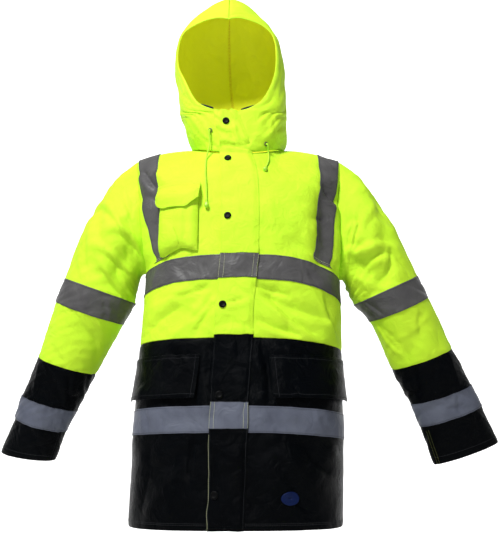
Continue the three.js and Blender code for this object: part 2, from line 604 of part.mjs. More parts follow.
// Faces turned round where they enclose a negative volume
function facingOut(positions, faces) {
  const corner = (k) => new THREE.Vector3().fromArray(positions, faces[k] * 3);
  let volume = 0;
  for (let k = 0; k < faces.length; k += 3) volume += corner(k).dot(corner(k + 1).cross(corner(k + 2)));
  if (volume < 0)
    for (let k = 0; k < faces.length; k += 3) [faces[k + 1], faces[k + 2]] = [faces[k + 2], faces[k + 1]];
  return faces;
}
function addMesh(name, geometry, material) {
  const mesh = new THREE.Mesh(geometry, new THREE.MeshStandardMaterial({ metalness: 0, ...COLOURS[material] }));
  mesh.name = name;
  jacket.add(mesh);
  return mesh;
}

const sleeves = { right: sleeveGrid(-1), left: sleeveGrid(1) };
const backUpper = joinSides(body.upper.backRight, body.upper.backLeft);
const onTape = { from: ON_PANEL, to: ON_PANEL + TAPE.thick };

function buildBody() {
  for (const side of ["right", "left"]) {
    wall(`front_${side}_upper`, body.upper[side], "lime");
    wall(`front_${side}_lower`, body.lower[side], "black");
    wall(`chest_tape_front_${side}`, body.upper[side], "silver", { rows: CHEST_TAPE_ROWS, ...onTape });
    wall(`hem_tape_front_${side}`, body.lower[side], "silver", { rows: HEM_TAPE_ROWS, ...onTape });
  }
  const turned = (j, i) => i >= BODY_EDGE;
  wall("back_upper", backUpper, "lime", { turned });
  wall("back_lower", body.lower.back, "black", { turned });
  wall("chest_tape_back", backUpper, "silver", { rows: CHEST_TAPE_ROWS, ...onTape, turned });
  wall("hem_tape_back", body.lower.back, "silver", { rows: HEM_TAPE_ROWS, ...onTape, turned });
}

// A brace tape goes from the chest tape up the front, over the shoulder and down the back
function buildBraces() {
  const first = CHEST_TAPE_ROWS[1];
  const cols = [BODY_COLUMNS.middle, BODY_COLUMNS.middle + BODY_COLUMNS.brace];
  for (const [side, back] of [["right", "backRight"], ["left", "backLeft"]]) {
    const take = (grid) => grid.slice(first).map((row) => row.slice(cols[0], cols[1] + 1));
    const front = take(body.upper[side]);
    const behind = take(body.upper[back]).reverse();
    front[0].forEach((spot) => spot.p.z += SEAM);
    behind.at(-1).forEach((spot) => spot.p.z += SEAM);
    wall(`brace_tape_${side}`, [...front, ...behind], "silver", onTape);
    front[0].forEach((spot) => spot.p.z -= SEAM);
    behind.at(-1).forEach((spot) => spot.p.z -= SEAM);
  }
}

function buildSleeves() {
  for (const side of ["right", "left"]) {
    const grid = sleeves[side];
    const ring = { closed: true };
    wall(`sleeve_${side}_upper`, grid, "lime", { rows: SLEEVE_SLICES.upper, ...ring });
    wall(`sleeve_${side}_lower`, grid, "black", { rows: SLEEVE_SLICES.lower, ...ring });
    wall(`sleeve_tape_${side}`, grid, "silver", { rows: SLEEVE_SLICES.tape, ...onTape, ...ring });
    wall(`cuff_tape_${side}`, grid, "silver", { rows: SLEEVE_SLICES.cuffTape, ...onTape, ...ring });
  }
}

function buildCollarAndHood() {
  wall("collar", collarGrid(), "lime");
  const grid = hoodGrid();
  wall("hood_right", grid, "lime", { cols: [0, HOOD_COLUMNS] });
  wall("hood_left", grid, "lime", { cols: [HOOD_COLUMNS + 1, 2 * HOOD_COLUMNS + 1] });
}

// A spot on the hood's throat, found by its X and height
function throatAt(x, z) {
  let [low, high] = [0, 0.28];
  for (let i = 0; i < 30; i++) {
    const t = (low + high) / 2;
    if (hoodPoint(1, t, 0.03).z < z) low = t;
    else high = t;
  }
  const level = rowAt(HOOD, "t", low);
  const side = x < level.centre ? -1 : 1;
  const angle = Math.abs(angleOf((x - level.centre) / level.half));
  const at = (u, v) => hoodPoint(side, v, u);
  const du = at(angle + 0.02, low).sub(at(Math.max(0, angle - 0.02), low)).multiplyScalar(side);
  const dv = at(angle, low + 0.01).sub(at(angle, Math.max(0, low - 0.01)));
  const p = hoodPoint(side, low, angle);
  return { p: new THREE.Vector3(p.x, p.y, z), n: du.cross(dv).normalize() };
}
// The storm flap lies on the fronts and goes on up the hood's throat
const THROAT_FOOT_Z = -22;
const frontSpot = (x, z) => (z < THROAT_FOOT_Z ? torsoAtX(1, x, z) : throatAt(x, z));
const FLAP_UPPER_Z = [
  ...range(3, COLOUR_SEAM_Z + SEAM / 2, CHEST_TAPE_TOP_Z - TAPE.width),
  ...range(5, CHEST_TAPE_TOP_Z, -50),
  -20, 0, 20, 40, 57,
];
const FLAP_LOWER_Z = [
  ...range(3, HEM_Z, HEM_TAPE_TOP_Z - TAPE.width),
  ...range(3, HEM_TAPE_TOP_Z, COLOUR_SEAM_Z - SEAM / 2),
];
const FLAP_TAPE_ROWS = [3, 4];
const flapGrid = (heights) =>
  heights.map((z) => {
    const flap = rowAt(STORM_FLAP, "z", z);
    return range(4, -1, 1).map((share) => frontSpot(flap.centre + share * flap.half, z));
  });
const flapWall = { from: OVER_TAPE, to: OVER_TAPE + FLAP_CLOTH };
const flapTape = { from: flapWall.to + SEAM, to: flapWall.to + SEAM + TAPE.thick };
function buildStormFlap() {
  const [upper, lower] = [flapGrid(FLAP_UPPER_Z), flapGrid(FLAP_LOWER_Z)];
  wall("storm_flap_upper", upper, "lime", flapWall);
  wall("storm_flap_lower", lower, "black", flapWall);
  wall("chest_tape_flap", upper, "silver", { rows: FLAP_TAPE_ROWS, ...flapTape });
  wall("hem_tape_flap", lower, "silver", { rows: FLAP_TAPE_ROWS, ...flapTape });
}

// How far the chest pocket's bellows stand off the panel, 1 over most of it and 0 at its edges
function pocketSwell(x, z) {
  const a = Math.abs((2 * x - CHEST_POCKET.left - CHEST_POCKET.right) / (CHEST_POCKET.right - CHEST_POCKET.left));
  const b = Math.abs((2 * z - CHEST_POCKET.top - CHEST_POCKET.foot) / (CHEST_POCKET.top - CHEST_POCKET.foot));
  return (1 - Math.min(1, a) ** 5) * (1 - Math.min(1, b) ** 6);
}
// Outward shape of a sheet sewn on the right front: the panel's points moved out, with fresh normals
function sheetOn(face, columns, rows, xAt, zAt, outAt) {
  const points = rows.map((v) =>
    columns.map((u) => {
      const { p, n } = torsoAtX(face, xAt(u, v), zAt(u, v));
      return p.addScaledVector(n, outAt(u, v, p));
    }));
  return withNormals(points, (p) => new THREE.Vector3(p.x, p.y, 0));
}
const POCKET_GRID = [-1, -0.94, -0.8, -0.4, 0.4, 0.8, 0.94, 1];
function buildChestPocket() {
  const { left, right, top, foot, bulge } = CHEST_POCKET;
  const start = OVER_TAPE + 0.3 + FLAP_CLOTH / 2;
  const xAt = (u) => mix(left, right, (u + 1) / 2);
  const zAt = (u, v) => mix(foot, top, (v + 1) / 2);
  const pouch = sheetOn(1, POCKET_GRID, POCKET_GRID, xAt, zAt, (u, v) =>
    start + bulge * pocketSwell(xAt(u), zAt(u, v)));
  const half = FLAP_CLOTH / 2;
  wall("chest_pocket", pouch, "lime", { from: -half, to: half });

  const flap = CHEST_POCKET_FLAP;
  const across = [-1, -0.75, -0.5, 0, 0.5, 0.75, 1];
  const flapX = (u) => mix(flap.left, flap.right, (u + 1) / 2);
  const footAt = (u) => flap.foot + flap.chamfer * Math.max(0, (Math.abs(u) - 0.5) / 0.5);
  const flapZ = (u, v) => mix(flap.top, footAt(u), v);
  const cover = sheetOn(1, across, range(5), flapX, flapZ, (u, v, p) => {
    const under = Math.max(0, Math.min(1, v * 1.6));
    return start + (bulge + FLAP_CLOTH + SEAM) * under * (1 - 0.25 * Math.abs(u) ** 3);
  });
  wall("chest_pocket_flap", cover, "lime", { from: -half, to: half });
}

// Hip pocket flaps wrap from the front to the side seam and lift away at their foot
function buildHipFlaps() {
  const { innerX, top, foot, lift, sideAngle } = HIP_FLAP;
  for (const [name, side] of [["right", -1], ["left", 1]]) {
    const startX = name === "right" ? -innerX : innerX - 14;
    const points = range(4).map((v) => {
      const z = mix(top, foot, v);
      const plan = rowAt(TORSO, "z", z);
      const inner = angleOf((startX + side * 8 * v - plan.shift) / plan.half);
      return range(8).map((u) => {
        const { p, n } = torsoSpot(mix(inner, side * sideAngle * DEGREE, u), z);
        return p.addScaledVector(n, ON_PANEL + FLAP_CLOTH / 2 + 0.9 + lift * v ** 1.3);
      });
    });
    const grid = withNormals(points, (p) => new THREE.Vector3(p.x, p.y, 0));
    wall(`hip_pocket_flap_${name}`, grid, "black", { from: -FLAP_CLOTH / 2, to: FLAP_CLOTH / 2 });
  }
}

// Turns a piece made along +Z to stand on a spot, its foot at the stated height over it
function placeOn(mesh, spot, height) {
  mesh.position.copy(spot.p).addScaledVector(spot.n, height);
  mesh.quaternion.setFromUnitVectors(new THREE.Vector3(0, 0, 1), spot.n);
}
const lathe = (profile, segments) => {
  const geometry = new THREE.LatheGeometry(profile.map(([r, z]) => new THREE.Vector2(r, z)), segments);
  return geometry.rotateX(Math.PI / 2);
};
function buildSnaps() {
  const { radius: r, height: h } = SNAP;
  const profile = [[0, 0], [r * 0.9, 0], [r, h * 0.3], [r * 0.93, h * 0.7], [r * 0.62, h], [0, h * 0.88]];
  SNAP_PLACES.forEach(({ x, z }, i) => {
    const mesh = addMesh(`snap_${i + 1}`, lathe(profile, 12), "snap");
    placeOn(mesh, frontSpot(x, z), flapWall.to + SEAM + 0.25);
  });
}
function buildPatch() {
  const oval = new THREE.Shape().absellipse(0, 0, PATCH.halfWidth, PATCH.halfHeight, 0, 2 * Math.PI);
  const geometry = new THREE.ExtrudeGeometry(oval, { depth: PATCH.thick, bevelEnabled: false, curveSegments: 10 });
  const mesh = addMesh("oval_patch", geometry, "navy");
  placeOn(mesh, torsoAtX(1, PATCH.x, PATCH.z), ON_PANEL + 0.9);
}

// A drawcord hangs from its eyelet just in front of the cloth and ends in a moulded cord end
function buildCord(name) {
  const clear = ON_PANEL + CORD.radius;
  const route = CORD_ROUTES[name];
  const eyeletSpot = frontSpot(route[0].x, route[0].z);
  const ring = [[EYELET.hole, 0], [EYELET.outer, 0], [EYELET.outer * 0.9, EYELET.thick], [EYELET.hole, EYELET.thick]];
  const eyelet = addMesh(`eyelet_${name}`, lathe([...ring, ring[0]], 12), "cordEnd");
  placeOn(eyelet, eyeletSpot, EYELET.standOff);
  const mouth = EYELET.standOff + EYELET.thick + SEAM;
  const lift = (spot, off) => spot.p.clone().addScaledVector(spot.n, off);
  const points = [
    lift(eyeletSpot, mouth),
    lift(eyeletSpot, mouth + 4).add(new THREE.Vector3(0, 0, -1)),
    ...route.slice(1).map(({ x, z }) => lift(frontSpot(x, z), clear + CORD.standOff[name])),
  ];
  const curve = new THREE.CatmullRomCurve3(points);
  const section = new THREE.Shape().absarc(0, 0, CORD.radius, 0, 2 * Math.PI);
  const steps = Math.round(curve.getLength() / (CORD.radius * 5));
  const tube = new THREE.ExtrudeGeometry(section, { steps, extrudePath: curve, curveSegments: 4 });
  addMesh(`drawcord_${name}`, tube, "cord");
  const r = CORD_END.radius;
  const l = CORD_END.length;
  const profile = [[0, 0], [r * 0.45, 0], [r * 0.85, l * 0.3], [r, l * 0.75], [r * 0.7, l], [0, l]];
  const end = addMesh(`cord_end_${name}`, lathe(profile, 12), "cordEnd");
  placeOn(end, { p: points.at(-1), n: curve.getTangent(1) }, SEAM);
}

// Dark strips of hook tape behind the throat's top edge, one on each side of the storm flap
const HOOK_TAPES = {
  right: { x1: -87, x2: -58, z1: 77, z2: 65, show: 1.5, behind: 3.1 },
  left: { x1: 3, x2: 37, z1: 54, z2: 67, show: 4, behind: 1.9 },
};
function buildHookTapes() {
  for (const [name, { x1, x2, z1, z2, show, behind }] of Object.entries(HOOK_TAPES)) {
    const spotAt = (u, rise) => throatAt(mix(x1, x2, u), mix(z1, z2, u) + rise);
    const grid = range(2, -6, show).map((rise) => range(6).map((u) => spotAt(u, rise)));
    wall(`hook_tape_${name}`, grid, "hook", { from: -SKIN - behind - 1, to: -SKIN - behind });
  }
}

buildBody();
buildBraces();
buildSleeves();
buildCollarAndHood();
buildStormFlap();
buildChestPocket();
buildHipFlaps();
buildSnaps();
buildPatch();
buildCord("right");
buildCord("left");
buildHookTapes();

export default jacket;
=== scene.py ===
"""A hooded hi-vis work jacket, hollow and filled out as it is worn.

Every cloth piece is a wall on one of four surfaces: torso, sleeve, hood and collar. They repeat the
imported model's surfaces, with finer folds, soft seams and stitches, and what is sewn on a panel is made
from that panel's own points, moved out. Shapes are worked out in millimetres and become metres where a
mesh is made. +Z is up, the front faces -Y and +X is the wearer's left.
"""

import logging
import math
from collections.abc import Callable, Sequence
from dataclasses import dataclass, field
from enum import Enum

import bpy
import numpy as np
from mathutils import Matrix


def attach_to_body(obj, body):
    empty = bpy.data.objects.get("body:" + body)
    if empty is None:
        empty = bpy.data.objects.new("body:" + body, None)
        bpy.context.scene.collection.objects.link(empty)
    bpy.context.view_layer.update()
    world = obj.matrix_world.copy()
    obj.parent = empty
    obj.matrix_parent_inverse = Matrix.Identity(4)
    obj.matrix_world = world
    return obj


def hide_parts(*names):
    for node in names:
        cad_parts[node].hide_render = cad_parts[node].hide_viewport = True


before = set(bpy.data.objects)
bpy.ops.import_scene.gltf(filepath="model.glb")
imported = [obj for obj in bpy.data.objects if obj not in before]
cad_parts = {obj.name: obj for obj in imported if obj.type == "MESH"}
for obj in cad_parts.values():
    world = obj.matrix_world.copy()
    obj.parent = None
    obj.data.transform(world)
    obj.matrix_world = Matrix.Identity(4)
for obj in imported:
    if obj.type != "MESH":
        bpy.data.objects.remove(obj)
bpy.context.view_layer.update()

log = logging.getLogger("jacket")
Array = np.ndarray
MM = 0.001
BODY = "root"
RIGHT, LEFT = -1, 1
FRONT, BACK = 1, -1

# Cloth and layers, in millimetres
CLOTH = 2.4
SEAM = 0.3
TAPE_WIDTH, TAPE_THICK = 50.8, 1.0
FLAP_CLOTH = 1.8
SKIN = CLOTH / 2
ON_PANEL = SKIN + SEAM
OVER_TAPE = ON_PANEL + TAPE_THICK + 0.7
TAPE_TOP = ON_PANEL + TAPE_THICK
TAPE_STITCHES = (2.6 / TAPE_WIDTH, 1 - 2.6 / TAPE_WIDTH)  # shares across a tape
HEM_STITCHES = (10 / 360, 13 / 360)  # shares of the way from the hem to the colour seam
RIM, FLAP_RIM = 1.2, 0.9  # how far in from a free edge the cloth's rounding goes
ARMHOLE_BLEND = 18.0  # so far from the armhole the cloth turns towards the seam's own direction
SIDES = (("right", RIGHT), ("left", LEFT))
# Heights on the body, from the middle of the shoulders
HEM_Z, COLOUR_SEAM_Z, CHEST_TAPE_TOP_Z, HEM_TAPE_TOP_Z = -802.0, -440.0, -272.0, -572.0
PIT_ABOVE_TAPE = 8.0
SQUARENESS = 0.15
ROOF_HEIGHT = 130.0
NECK_CENTRE, NECK_HALF, NECK_BUMP = -5.0, 96.0, 60.0
NECK_FRONT_Z, NECK_BACK_Z, NECK_SIDE_Z = -38.0, 8.0, -3.0


def hermite(p: Array, q: Array, m: Array, n: Array, u: Array) -> Array:
    """The cubic from p to q with slopes m and n at its ends, at a share u of the way."""
    ends = (2 * u**3 - 3 * u**2 + 1) * p + (u**3 - 2 * u**2 + u) * m
    return ends + (3 * u**2 - 2 * u**3) * q + (u**3 - u**2) * n


class Table:
    """Named columns against a key column, smooth through every row and straight beyond the ends."""

    def __init__(self, names: str, rows: Sequence[Sequence[float]]) -> None:
        """Keeps the columns.

        Args:
            names: the column names, the key first.
            rows: one tuple of numbers a row, by rising key.
        """
        self.columns = dict(zip(names.split(), np.array(rows, float).T))
        self.keys = next(iter(self.columns.values()))

    def at(self, name: str, key: Array | float) -> Array:
        """A column at any key: a cubic through the rows whose slopes are those of the rows on either side.

        Args:
            name: the column.
            key: one key or an array of them.

        Returns:
            The column's values, of the key's shape.
        """
        keys, column = self.keys, self.columns[name]
        key = np.asarray(key, float)
        low = np.maximum(np.arange(len(keys)) - 1, 0)
        high = np.minimum(np.arange(len(keys)) + 1, len(keys) - 1)
        slopes = (column[high] - column[low]) / (keys[high] - keys[low])
        i = np.clip(np.searchsorted(keys, key) - 1, 0, len(keys) - 2)
        span = keys[i + 1] - keys[i]
        u = (key - keys[i]) / span
        p, q, m, n = column[i], column[i + 1], slopes[i] * span, slopes[i + 1] * span
        return np.where(u < 0, p + m * u, np.where(u > 1, q + n * (u - 1), hermite(p, q, m, n, u)))


def mix(a: Array | float, b: Array | float, share: Array | float) -> Array | float:
    """The value at a share of the way from a to b."""
    return a + (b - a) * share


def step(low: float, high: float, value: Array) -> Array:
    """0 below low, 1 above high, level at both ends."""
    s = np.clip((value - low) / (high - low), 0, 1)
    return s * s * (3 - 2 * s)


def fade_out(share: Array | float) -> Array:
    """From 1 to 0 as share goes from 0 to 1, level at both ends."""
    return 1 - step(0, 1, np.asarray(share, float))


def rising(*parts: Array | Sequence[float], digits: int = 7) -> Array:
    """The values of all parts in rising order, each once."""
    return np.unique(np.concatenate(parts).round(digits))


def unit(vectors: Array) -> Array:
    """Vectors along the last axis, at length 1."""
    return vectors / np.maximum(np.linalg.norm(vectors, axis=-1, keepdims=True), 1e-9)


def across(angle: Array) -> Array:
    """How far a squared ellipse reaches to the side at an angle from straight ahead."""
    return np.sin(angle) * (1 + SQUARENESS * np.cos(angle) ** 2)


def ahead(angle: Array) -> Array:
    """How far a squared ellipse reaches to the front at an angle from straight ahead."""
    return np.cos(angle) * (1 + SQUARENESS * np.sin(angle) ** 2)


ANGLE_STEPS = np.linspace(0, np.pi / 2, 20001)
ACROSS_STEPS = across(ANGLE_STEPS)


def angle_of(share: Array) -> Array:
    """The angle, up to a quarter turn either way, whose across is share."""
    return np.sign(share) * np.interp(np.abs(share), ACROSS_STEPS, ANGLE_STEPS)


BORDER_SHARES = (0.0016, 0.004, 0.008)


def shares(count: int, low: float = 0.0, high: float = 1.0, extra: Sequence[float] = ()) -> Array:
    """Even shares with a few more close to both ends, where a wall's rim rounds off.

    Args:
        count: how many even steps.
        low: the first value.
        high: the last value.
        extra: more values to include.

    Returns:
        The rising values.
    """
    borders = np.array(BORDER_SHARES)
    even = np.concatenate([np.linspace(0, 1, count + 1), borders, 1 - borders])
    return rising(mix(low, high, even), np.array(extra, float))


@dataclass(frozen=True)
class Fold:
    """A soft ridge (depth above 0) or trough (below 0) along a bowed line on the cloth."""

    x1: float
    z1: float
    x2: float
    z2: float
    width: float
    depth: float
    bow: float = 0.0
    lip: float = 0.0
    POWER = 2.0
    GAIN = 1.0
    SPREAD = 1.0

    def near(self, x: Array, z: Array) -> Array:
        """Finds the points that are close enough to be moved.

        Args:
            x: first coordinate on the cloth.
            z: second coordinate on the cloth.

        Returns:
            Whether each point is.
        """
        reach = 5 * self.width * self.SPREAD + abs(self.bow)
        beside = (x > min(self.x1, self.x2) - reach) & (x < max(self.x1, self.x2) + reach)
        return beside & (z > min(self.z1, self.z2) - reach) & (z < max(self.z1, self.z2) + reach)

    def relief(self, x: Array, z: Array) -> Array:
        """Height of the fold: a bell across its line, tapering past its ends, with a lip on one side.

        Args:
            x: first coordinate on the cloth.
            z: second coordinate on the cloth.

        Returns:
            How far the cloth moves out.
        """
        dx, dz = self.x2 - self.x1, self.z2 - self.z1
        length = math.hypot(dx, dz)
        along = ((x - self.x1) * dx + (z - self.z1) * dz) / length**2
        inside = np.clip(along, 0, 1)
        past = (along - inside) * length
        taper = 0.45 + 0.55 * np.sqrt(np.clip(4 * inside * (1 - inside), 0, 1))
        side = ((x - self.x1) * dz - (z - self.z1) * dx) / length - self.bow * 4 * inside * (1 - inside)
        width = self.width * self.SPREAD
        bell = np.exp(-((np.hypot(side, past) / width) ** self.POWER))
        lip = np.exp(-((np.hypot(side - 1.5 * width, past) / width) ** 2))
        return self.GAIN * self.depth * taper * (bell - self.lip * lip)


class Crease(Fold):
    """A fold with a sharper line, deeper than it is stated by the crispness of the cloth."""

    POWER = 1.15
    GAIN = 2.1
    SPREAD = 0.85


def folds_of(broad: int, rows: Sequence[tuple[float, ...]]) -> list[Fold]:
    """Folds from rows of their values: the first so many are broad folds, and the rest are creases."""
    return [Fold(*row) for row in rows[:broad]] + [Crease(*row) for row in rows[broad:]]


def scatter(seed: int, box: tuple[float, float, float, float], count: int, tilt: float,
            width: tuple[float, float] = (4.5, 8)) -> list[Crease]:
    """Small creases strewn over a patch of cloth, each with its own length, width and depth.

    Args:
        seed: picks the creases.
        box: lowest and highest first coordinate, lowest and highest second coordinate.
        count: how many.
        tilt: usual direction, in radians from the first coordinate's axis.
        width: narrowest and widest.

    Returns:
        The creases.
    """
    draw = np.random.default_rng(seed)
    found = []
    for _ in range(count):
        x, z = draw.uniform(box[0], box[1]), draw.uniform(box[2], box[3])
        turn, length = draw.normal(tilt, 0.45), draw.uniform(14, 46)
        dx, dz = length * math.cos(turn) / 2, length * math.sin(turn) / 2
        depth = draw.choice((-0.7, 0.45)) * draw.uniform(0.5, 1.3)
        wide, bow = draw.uniform(*width), draw.normal(0, 2)
        found.append(Crease(x - dx, z - dz, x + dx, z + dz, wide, depth, bow, 0.5))
    return found


def relief_of(folds: Sequence[Fold], x: Array, z: Array) -> Array:
    """The sum of folds at points of the cloth.

    Args:
        folds: the folds.
        x: first coordinate on the cloth.
        z: second coordinate on the cloth.

    Returns:
        How far the cloth moves out.
    """
    x, z = np.broadcast_arrays(x, z)
    total = np.zeros(x.shape)
    for fold in folds:
        near = fold.near(x, z)
        total[near] += fold.relief(x[near], z[near])
    return total


WAVES, SWING = 7, 2.6  # how many sines, and the usual height of their sum
PUCKER_REACH, PUCKER_LENGTH, PUCKER_DEPTH = 11, 22, 0.42


def undulation(u: Array, v: Array, seed: int, size: float, depth: float) -> Array:
    """Quiet waves of the cloth: seven crossing sines with seeded lengths, directions and phases.

    Args:
        u: first coordinate on the cloth.
        v: second coordinate on the cloth.
        seed: picks the waves.
        size: the waves' usual length.
        depth: their usual height.

    Returns:
        The height of the waves.
    """
    draw = np.random.default_rng(seed)
    total = np.zeros(np.broadcast(u, v).shape)
    for turn, stretch, phase in draw.uniform((0, 0.6, 0), (np.pi, 1.7, 2 * np.pi), (WAVES, 3)):
        total += np.sin(2 * np.pi * (u * np.cos(turn) + v * np.sin(turn)) / (size * stretch) + phase)
    return depth * total / SWING


def pucker(u: Array, v: Array, gaps: Sequence[Array], seed: int) -> Array:
    """Short waves where a seam draws the cloth together: they fade as a bell with distance from each seam.

    Args:
        u: coordinate along the seams.
        v: coordinate across them.
        gaps: distance from each seam.
        seed: picks the waves.

    Returns:
        The height of the waves.
    """
    near = sum(np.exp(-((gap / PUCKER_REACH) ** 2)) for gap in gaps)
    return near * undulation(u, v * 0.3, seed, PUCKER_LENGTH, PUCKER_DEPTH)


def distances(line: Array) -> Array:
    """Distance gone along a line at each of its points."""
    return np.concatenate([[0], np.cumsum(np.linalg.norm(np.diff(line, axis=0), axis=1))])


def grid_quads(rows: int, cols: int, ring: bool) -> Array:
    """Faces between neighbouring rows of a grid whose vertices are numbered row by row.

    Args:
        rows: how many rows.
        cols: how many vertices a row.
        ring: whether each row's last vertex meets its first.

    Returns:
        Four vertex numbers a face.
    """
    j, i = np.meshgrid(np.arange(rows - 1), np.arange(cols if ring else cols - 1), indexing="ij")
    k = (i + 1) % cols
    return np.stack([j * cols + i, j * cols + k, (j + 1) * cols + k, (j + 1) * cols + i], -1).reshape(-1, 4)


def grid_normals(points: Array, closed: bool) -> Array:
    """Directions square to a grid of points, from the differences along its rows and columns.

    Args:
        points: rows by columns by 3.
        closed: whether each row is a ring.

    Returns:
        Unit vectors, rows by columns by 3.
    """
    along = np.roll(points, -1, 1) - np.roll(points, 1, 1) if closed else np.gradient(points, axis=1)
    return unit(np.cross(along, np.gradient(points, axis=0)))


@dataclass
class Spots:
    """A grid of points on a cloth's middle surface, with the way that its outer face looks."""

    p: Array
    n: Array
    closed: bool = False

    @staticmethod
    def of(points: Array, outward: Array, closed: bool = False) -> "Spots":
        """Spots of a grid, with directions turned to agree with outward on the whole.

        Args:
            points: rows by columns by 3.
            outward: rough outward vectors at the points.
            closed: whether each row is a ring.

        Returns:
            The spots.
        """
        n = grid_normals(points, closed)
        return Spots(points, n * np.sign(np.sum(n * outward)), closed)

    def part(self, rows: slice, cols: slice = slice(None)) -> "Spots":
        """The spots of some rows and columns."""
        return Spots(self.p[rows, cols], self.n[rows, cols], self.closed and cols == slice(None))

    def out(self, offset: Array | float) -> Array:
        """The points moved out by an offset."""
        return self.p + self.n * np.broadcast_to(offset, self.p.shape[:2])[..., None]

    def lengths(self) -> tuple[Array, Array]:
        """Distances over the grid; a ring's rows come round to a last column.

        Returns:
            Distance gone along each row, and up each column.
        """
        p = np.concatenate([self.p, self.p[:, :1]], 1) if self.closed else self.p
        along = np.linalg.norm(np.diff(p, axis=1), axis=-1)
        up = np.linalg.norm(np.diff(p, axis=0), axis=-1)
        u = np.concatenate([np.zeros((len(p), 1)), np.cumsum(along, 1)], 1)
        v = np.concatenate([np.zeros((1, p.shape[1])), np.cumsum(up, 0)], 0)
        return u, v

    def border(self) -> Array:
        """How far the spots lie from the grid's edges.

        Returns:
            Distance of each spot from the nearest free edge.
        """
        u, v = self.lengths()
        ends = np.minimum(v, v[-1:] - v)
        if self.closed:
            return ends[:, :-1]
        return np.minimum(ends, np.minimum(u, u[:, -1:] - u))


def new_object(name: str, points: Array, faces: Array, uv: Array | None = None,
               inside: Array | None = None) -> bpy.types.Object:
    """A smooth mesh object at the origin.

    Args:
        name: the piece's name.
        points: vertices in millimetres.
        faces: vertex numbers, all faces with the same number of corners.
        uv: a UV place for every face corner, in metres of cloth.
        inside: 1 at each vertex of an inner face and 0 elsewhere.

    Returns:
        The object, linked to the scene.
    """
    mesh = bpy.data.meshes.new(name)
    corners = faces.shape[1]
    mesh.vertices.add(len(points))
    mesh.vertices.foreach_set("co", (points * MM).astype(np.float32).ravel())
    mesh.loops.add(faces.size)
    mesh.loops.foreach_set("vertex_index", faces.astype(np.int32).ravel())
    mesh.polygons.add(len(faces))
    mesh.polygons.foreach_set("loop_start", np.arange(0, faces.size, corners, dtype=np.int32))
    mesh.polygons.foreach_set("use_smooth", np.ones(len(faces), bool))
    if uv is not None:
        layer = mesh.uv_layers.new(name="cloth")
        layer.data.foreach_set("uv", uv.astype(np.float32).ravel())
    if inside is not None:
        mesh.attributes.new("inside", "FLOAT", "POINT").data.foreach_set("value", inside.astype(np.float32))
    mesh.update(calc_edges=True)
    mesh.validate()
    piece = bpy.data.objects.new(name, mesh)
    bpy.context.scene.collection.objects.link(piece)
    return piece


def wall(name: str, spots: Spots, low: Array | float, high: Array | float,
         rim: float = RIM) -> bpy.types.Object:
    """A closed cloth wall between two offsets of a grid, its free edges rounded off.

    The two faces come together towards an edge as a circle does, over the rim's width. The inner face is
    marked for a brighter colour, painted light on the inside, but for the rows next to its ends, where it
    shows at the seams.

    Args:
        name: the piece's name.
        spots: the middle surface.
        low: offset of the inner face.
        high: offset of the outer face.
        rim: how far in from a free edge the rounding goes.

    Returns:
        The object.
    """
    rows, cols = spots.p.shape[:2]
    near = np.clip(spots.border() / rim, 0, 1)
    full = 0.12 + 0.88 * np.sqrt(1 - (1 - near) ** 2)
    low, high = np.broadcast_to(low, (rows, cols)), np.broadcast_to(high, (rows, cols))
    middle, half = (low + high) / 2, (high - low) / 2 * full
    points = np.concatenate([spots.out(middle + offset).reshape(-1, 3) for offset in (half, -half)])
    last = cols if spots.closed else cols - 1
    j, i = np.meshgrid(np.arange(rows - 1), np.arange(last), indexing="ij")
    corners = [(j, i), (j, i + 1), (j + 1, i + 1), (j + 1, i)]
    number = lambda a, b, layer: (layer * rows + a) * cols + b % cols
    outer = np.stack([number(a, b, 0) for a, b in corners], -1).reshape(-1, 4)
    inner = np.stack([number(a, b, 1) for a, b in corners[::-1]], -1).reshape(-1, 4)
    faces, places = [outer, inner], [corners, corners[::-1]]

    def edge(a: Array, b: Array, a2: Array, b2: Array) -> None:
        """Adds the rim faces between a run of edge spots and the next ones, seen from outside.

        Args:
            a: rows of the spots.
            b: columns of the spots.
            a2: rows of the next spots.
            b2: columns of the next spots.
        """
        quad = [number(a, b, 0), number(a, b, 1), number(a2, b2, 1), number(a2, b2, 0)]
        faces.append(np.stack(quad, -1).reshape(-1, 4))
        places.append([(a, b), (a, b), (a2, b2), (a2, b2)])

    i = np.arange(last)
    edge(np.full(last, 0), i, np.full(last, 0), i + 1)
    edge(np.full(last, rows - 1), i + 1, np.full(last, rows - 1), i)
    if not spots.closed:
        j = np.arange(rows - 1)
        edge(j + 1, np.full(rows - 1, 0), j, np.full(rows - 1, 0))
        edge(j, np.full(rows - 1, cols - 1), j + 1, np.full(rows - 1, cols - 1))
    u, v = spots.lengths()
    uv = np.concatenate([np.stack([np.stack([u[a, b], v[a, b]], -1) for a, b in place], -2).reshape(-1, 4, 2)
                         for place in places])
    quads = np.concatenate(faces)
    first = points[outer]
    facing = np.cross(first[:, 2] - first[:, 0], first[:, 3] - first[:, 1])
    if np.sum(facing * spots.n[:-1, :last].reshape(-1, 3)) < 0:
        quads, uv = quads[:, ::-1], uv[:, ::-1]
    # inner faces away from the ends are marked for the painted light on the inside
    painted_light_inside = (np.minimum(v, v[-1:] - v)[:, :cols] > 4 * rim).ravel()
    return new_object(name, points, quads, uv * MM, np.concatenate([0 * painted_light_inside, painted_light_inside]))


class Finishes:
    """Builds node trees and keeps one material for each finish."""

    made: dict[str, bpy.types.Material] = {}

    @staticmethod
    def of(finish: "Finish") -> bpy.types.Material:
        """The material of a finish, made the first time.

        Args:
            finish: the finish.

        Returns:
            Its material.
        """
        if finish.name not in Finishes.made:
            Finishes.made[finish.name] = finish.build()
        return Finishes.made[finish.name]


Colour = tuple[float, float, float]


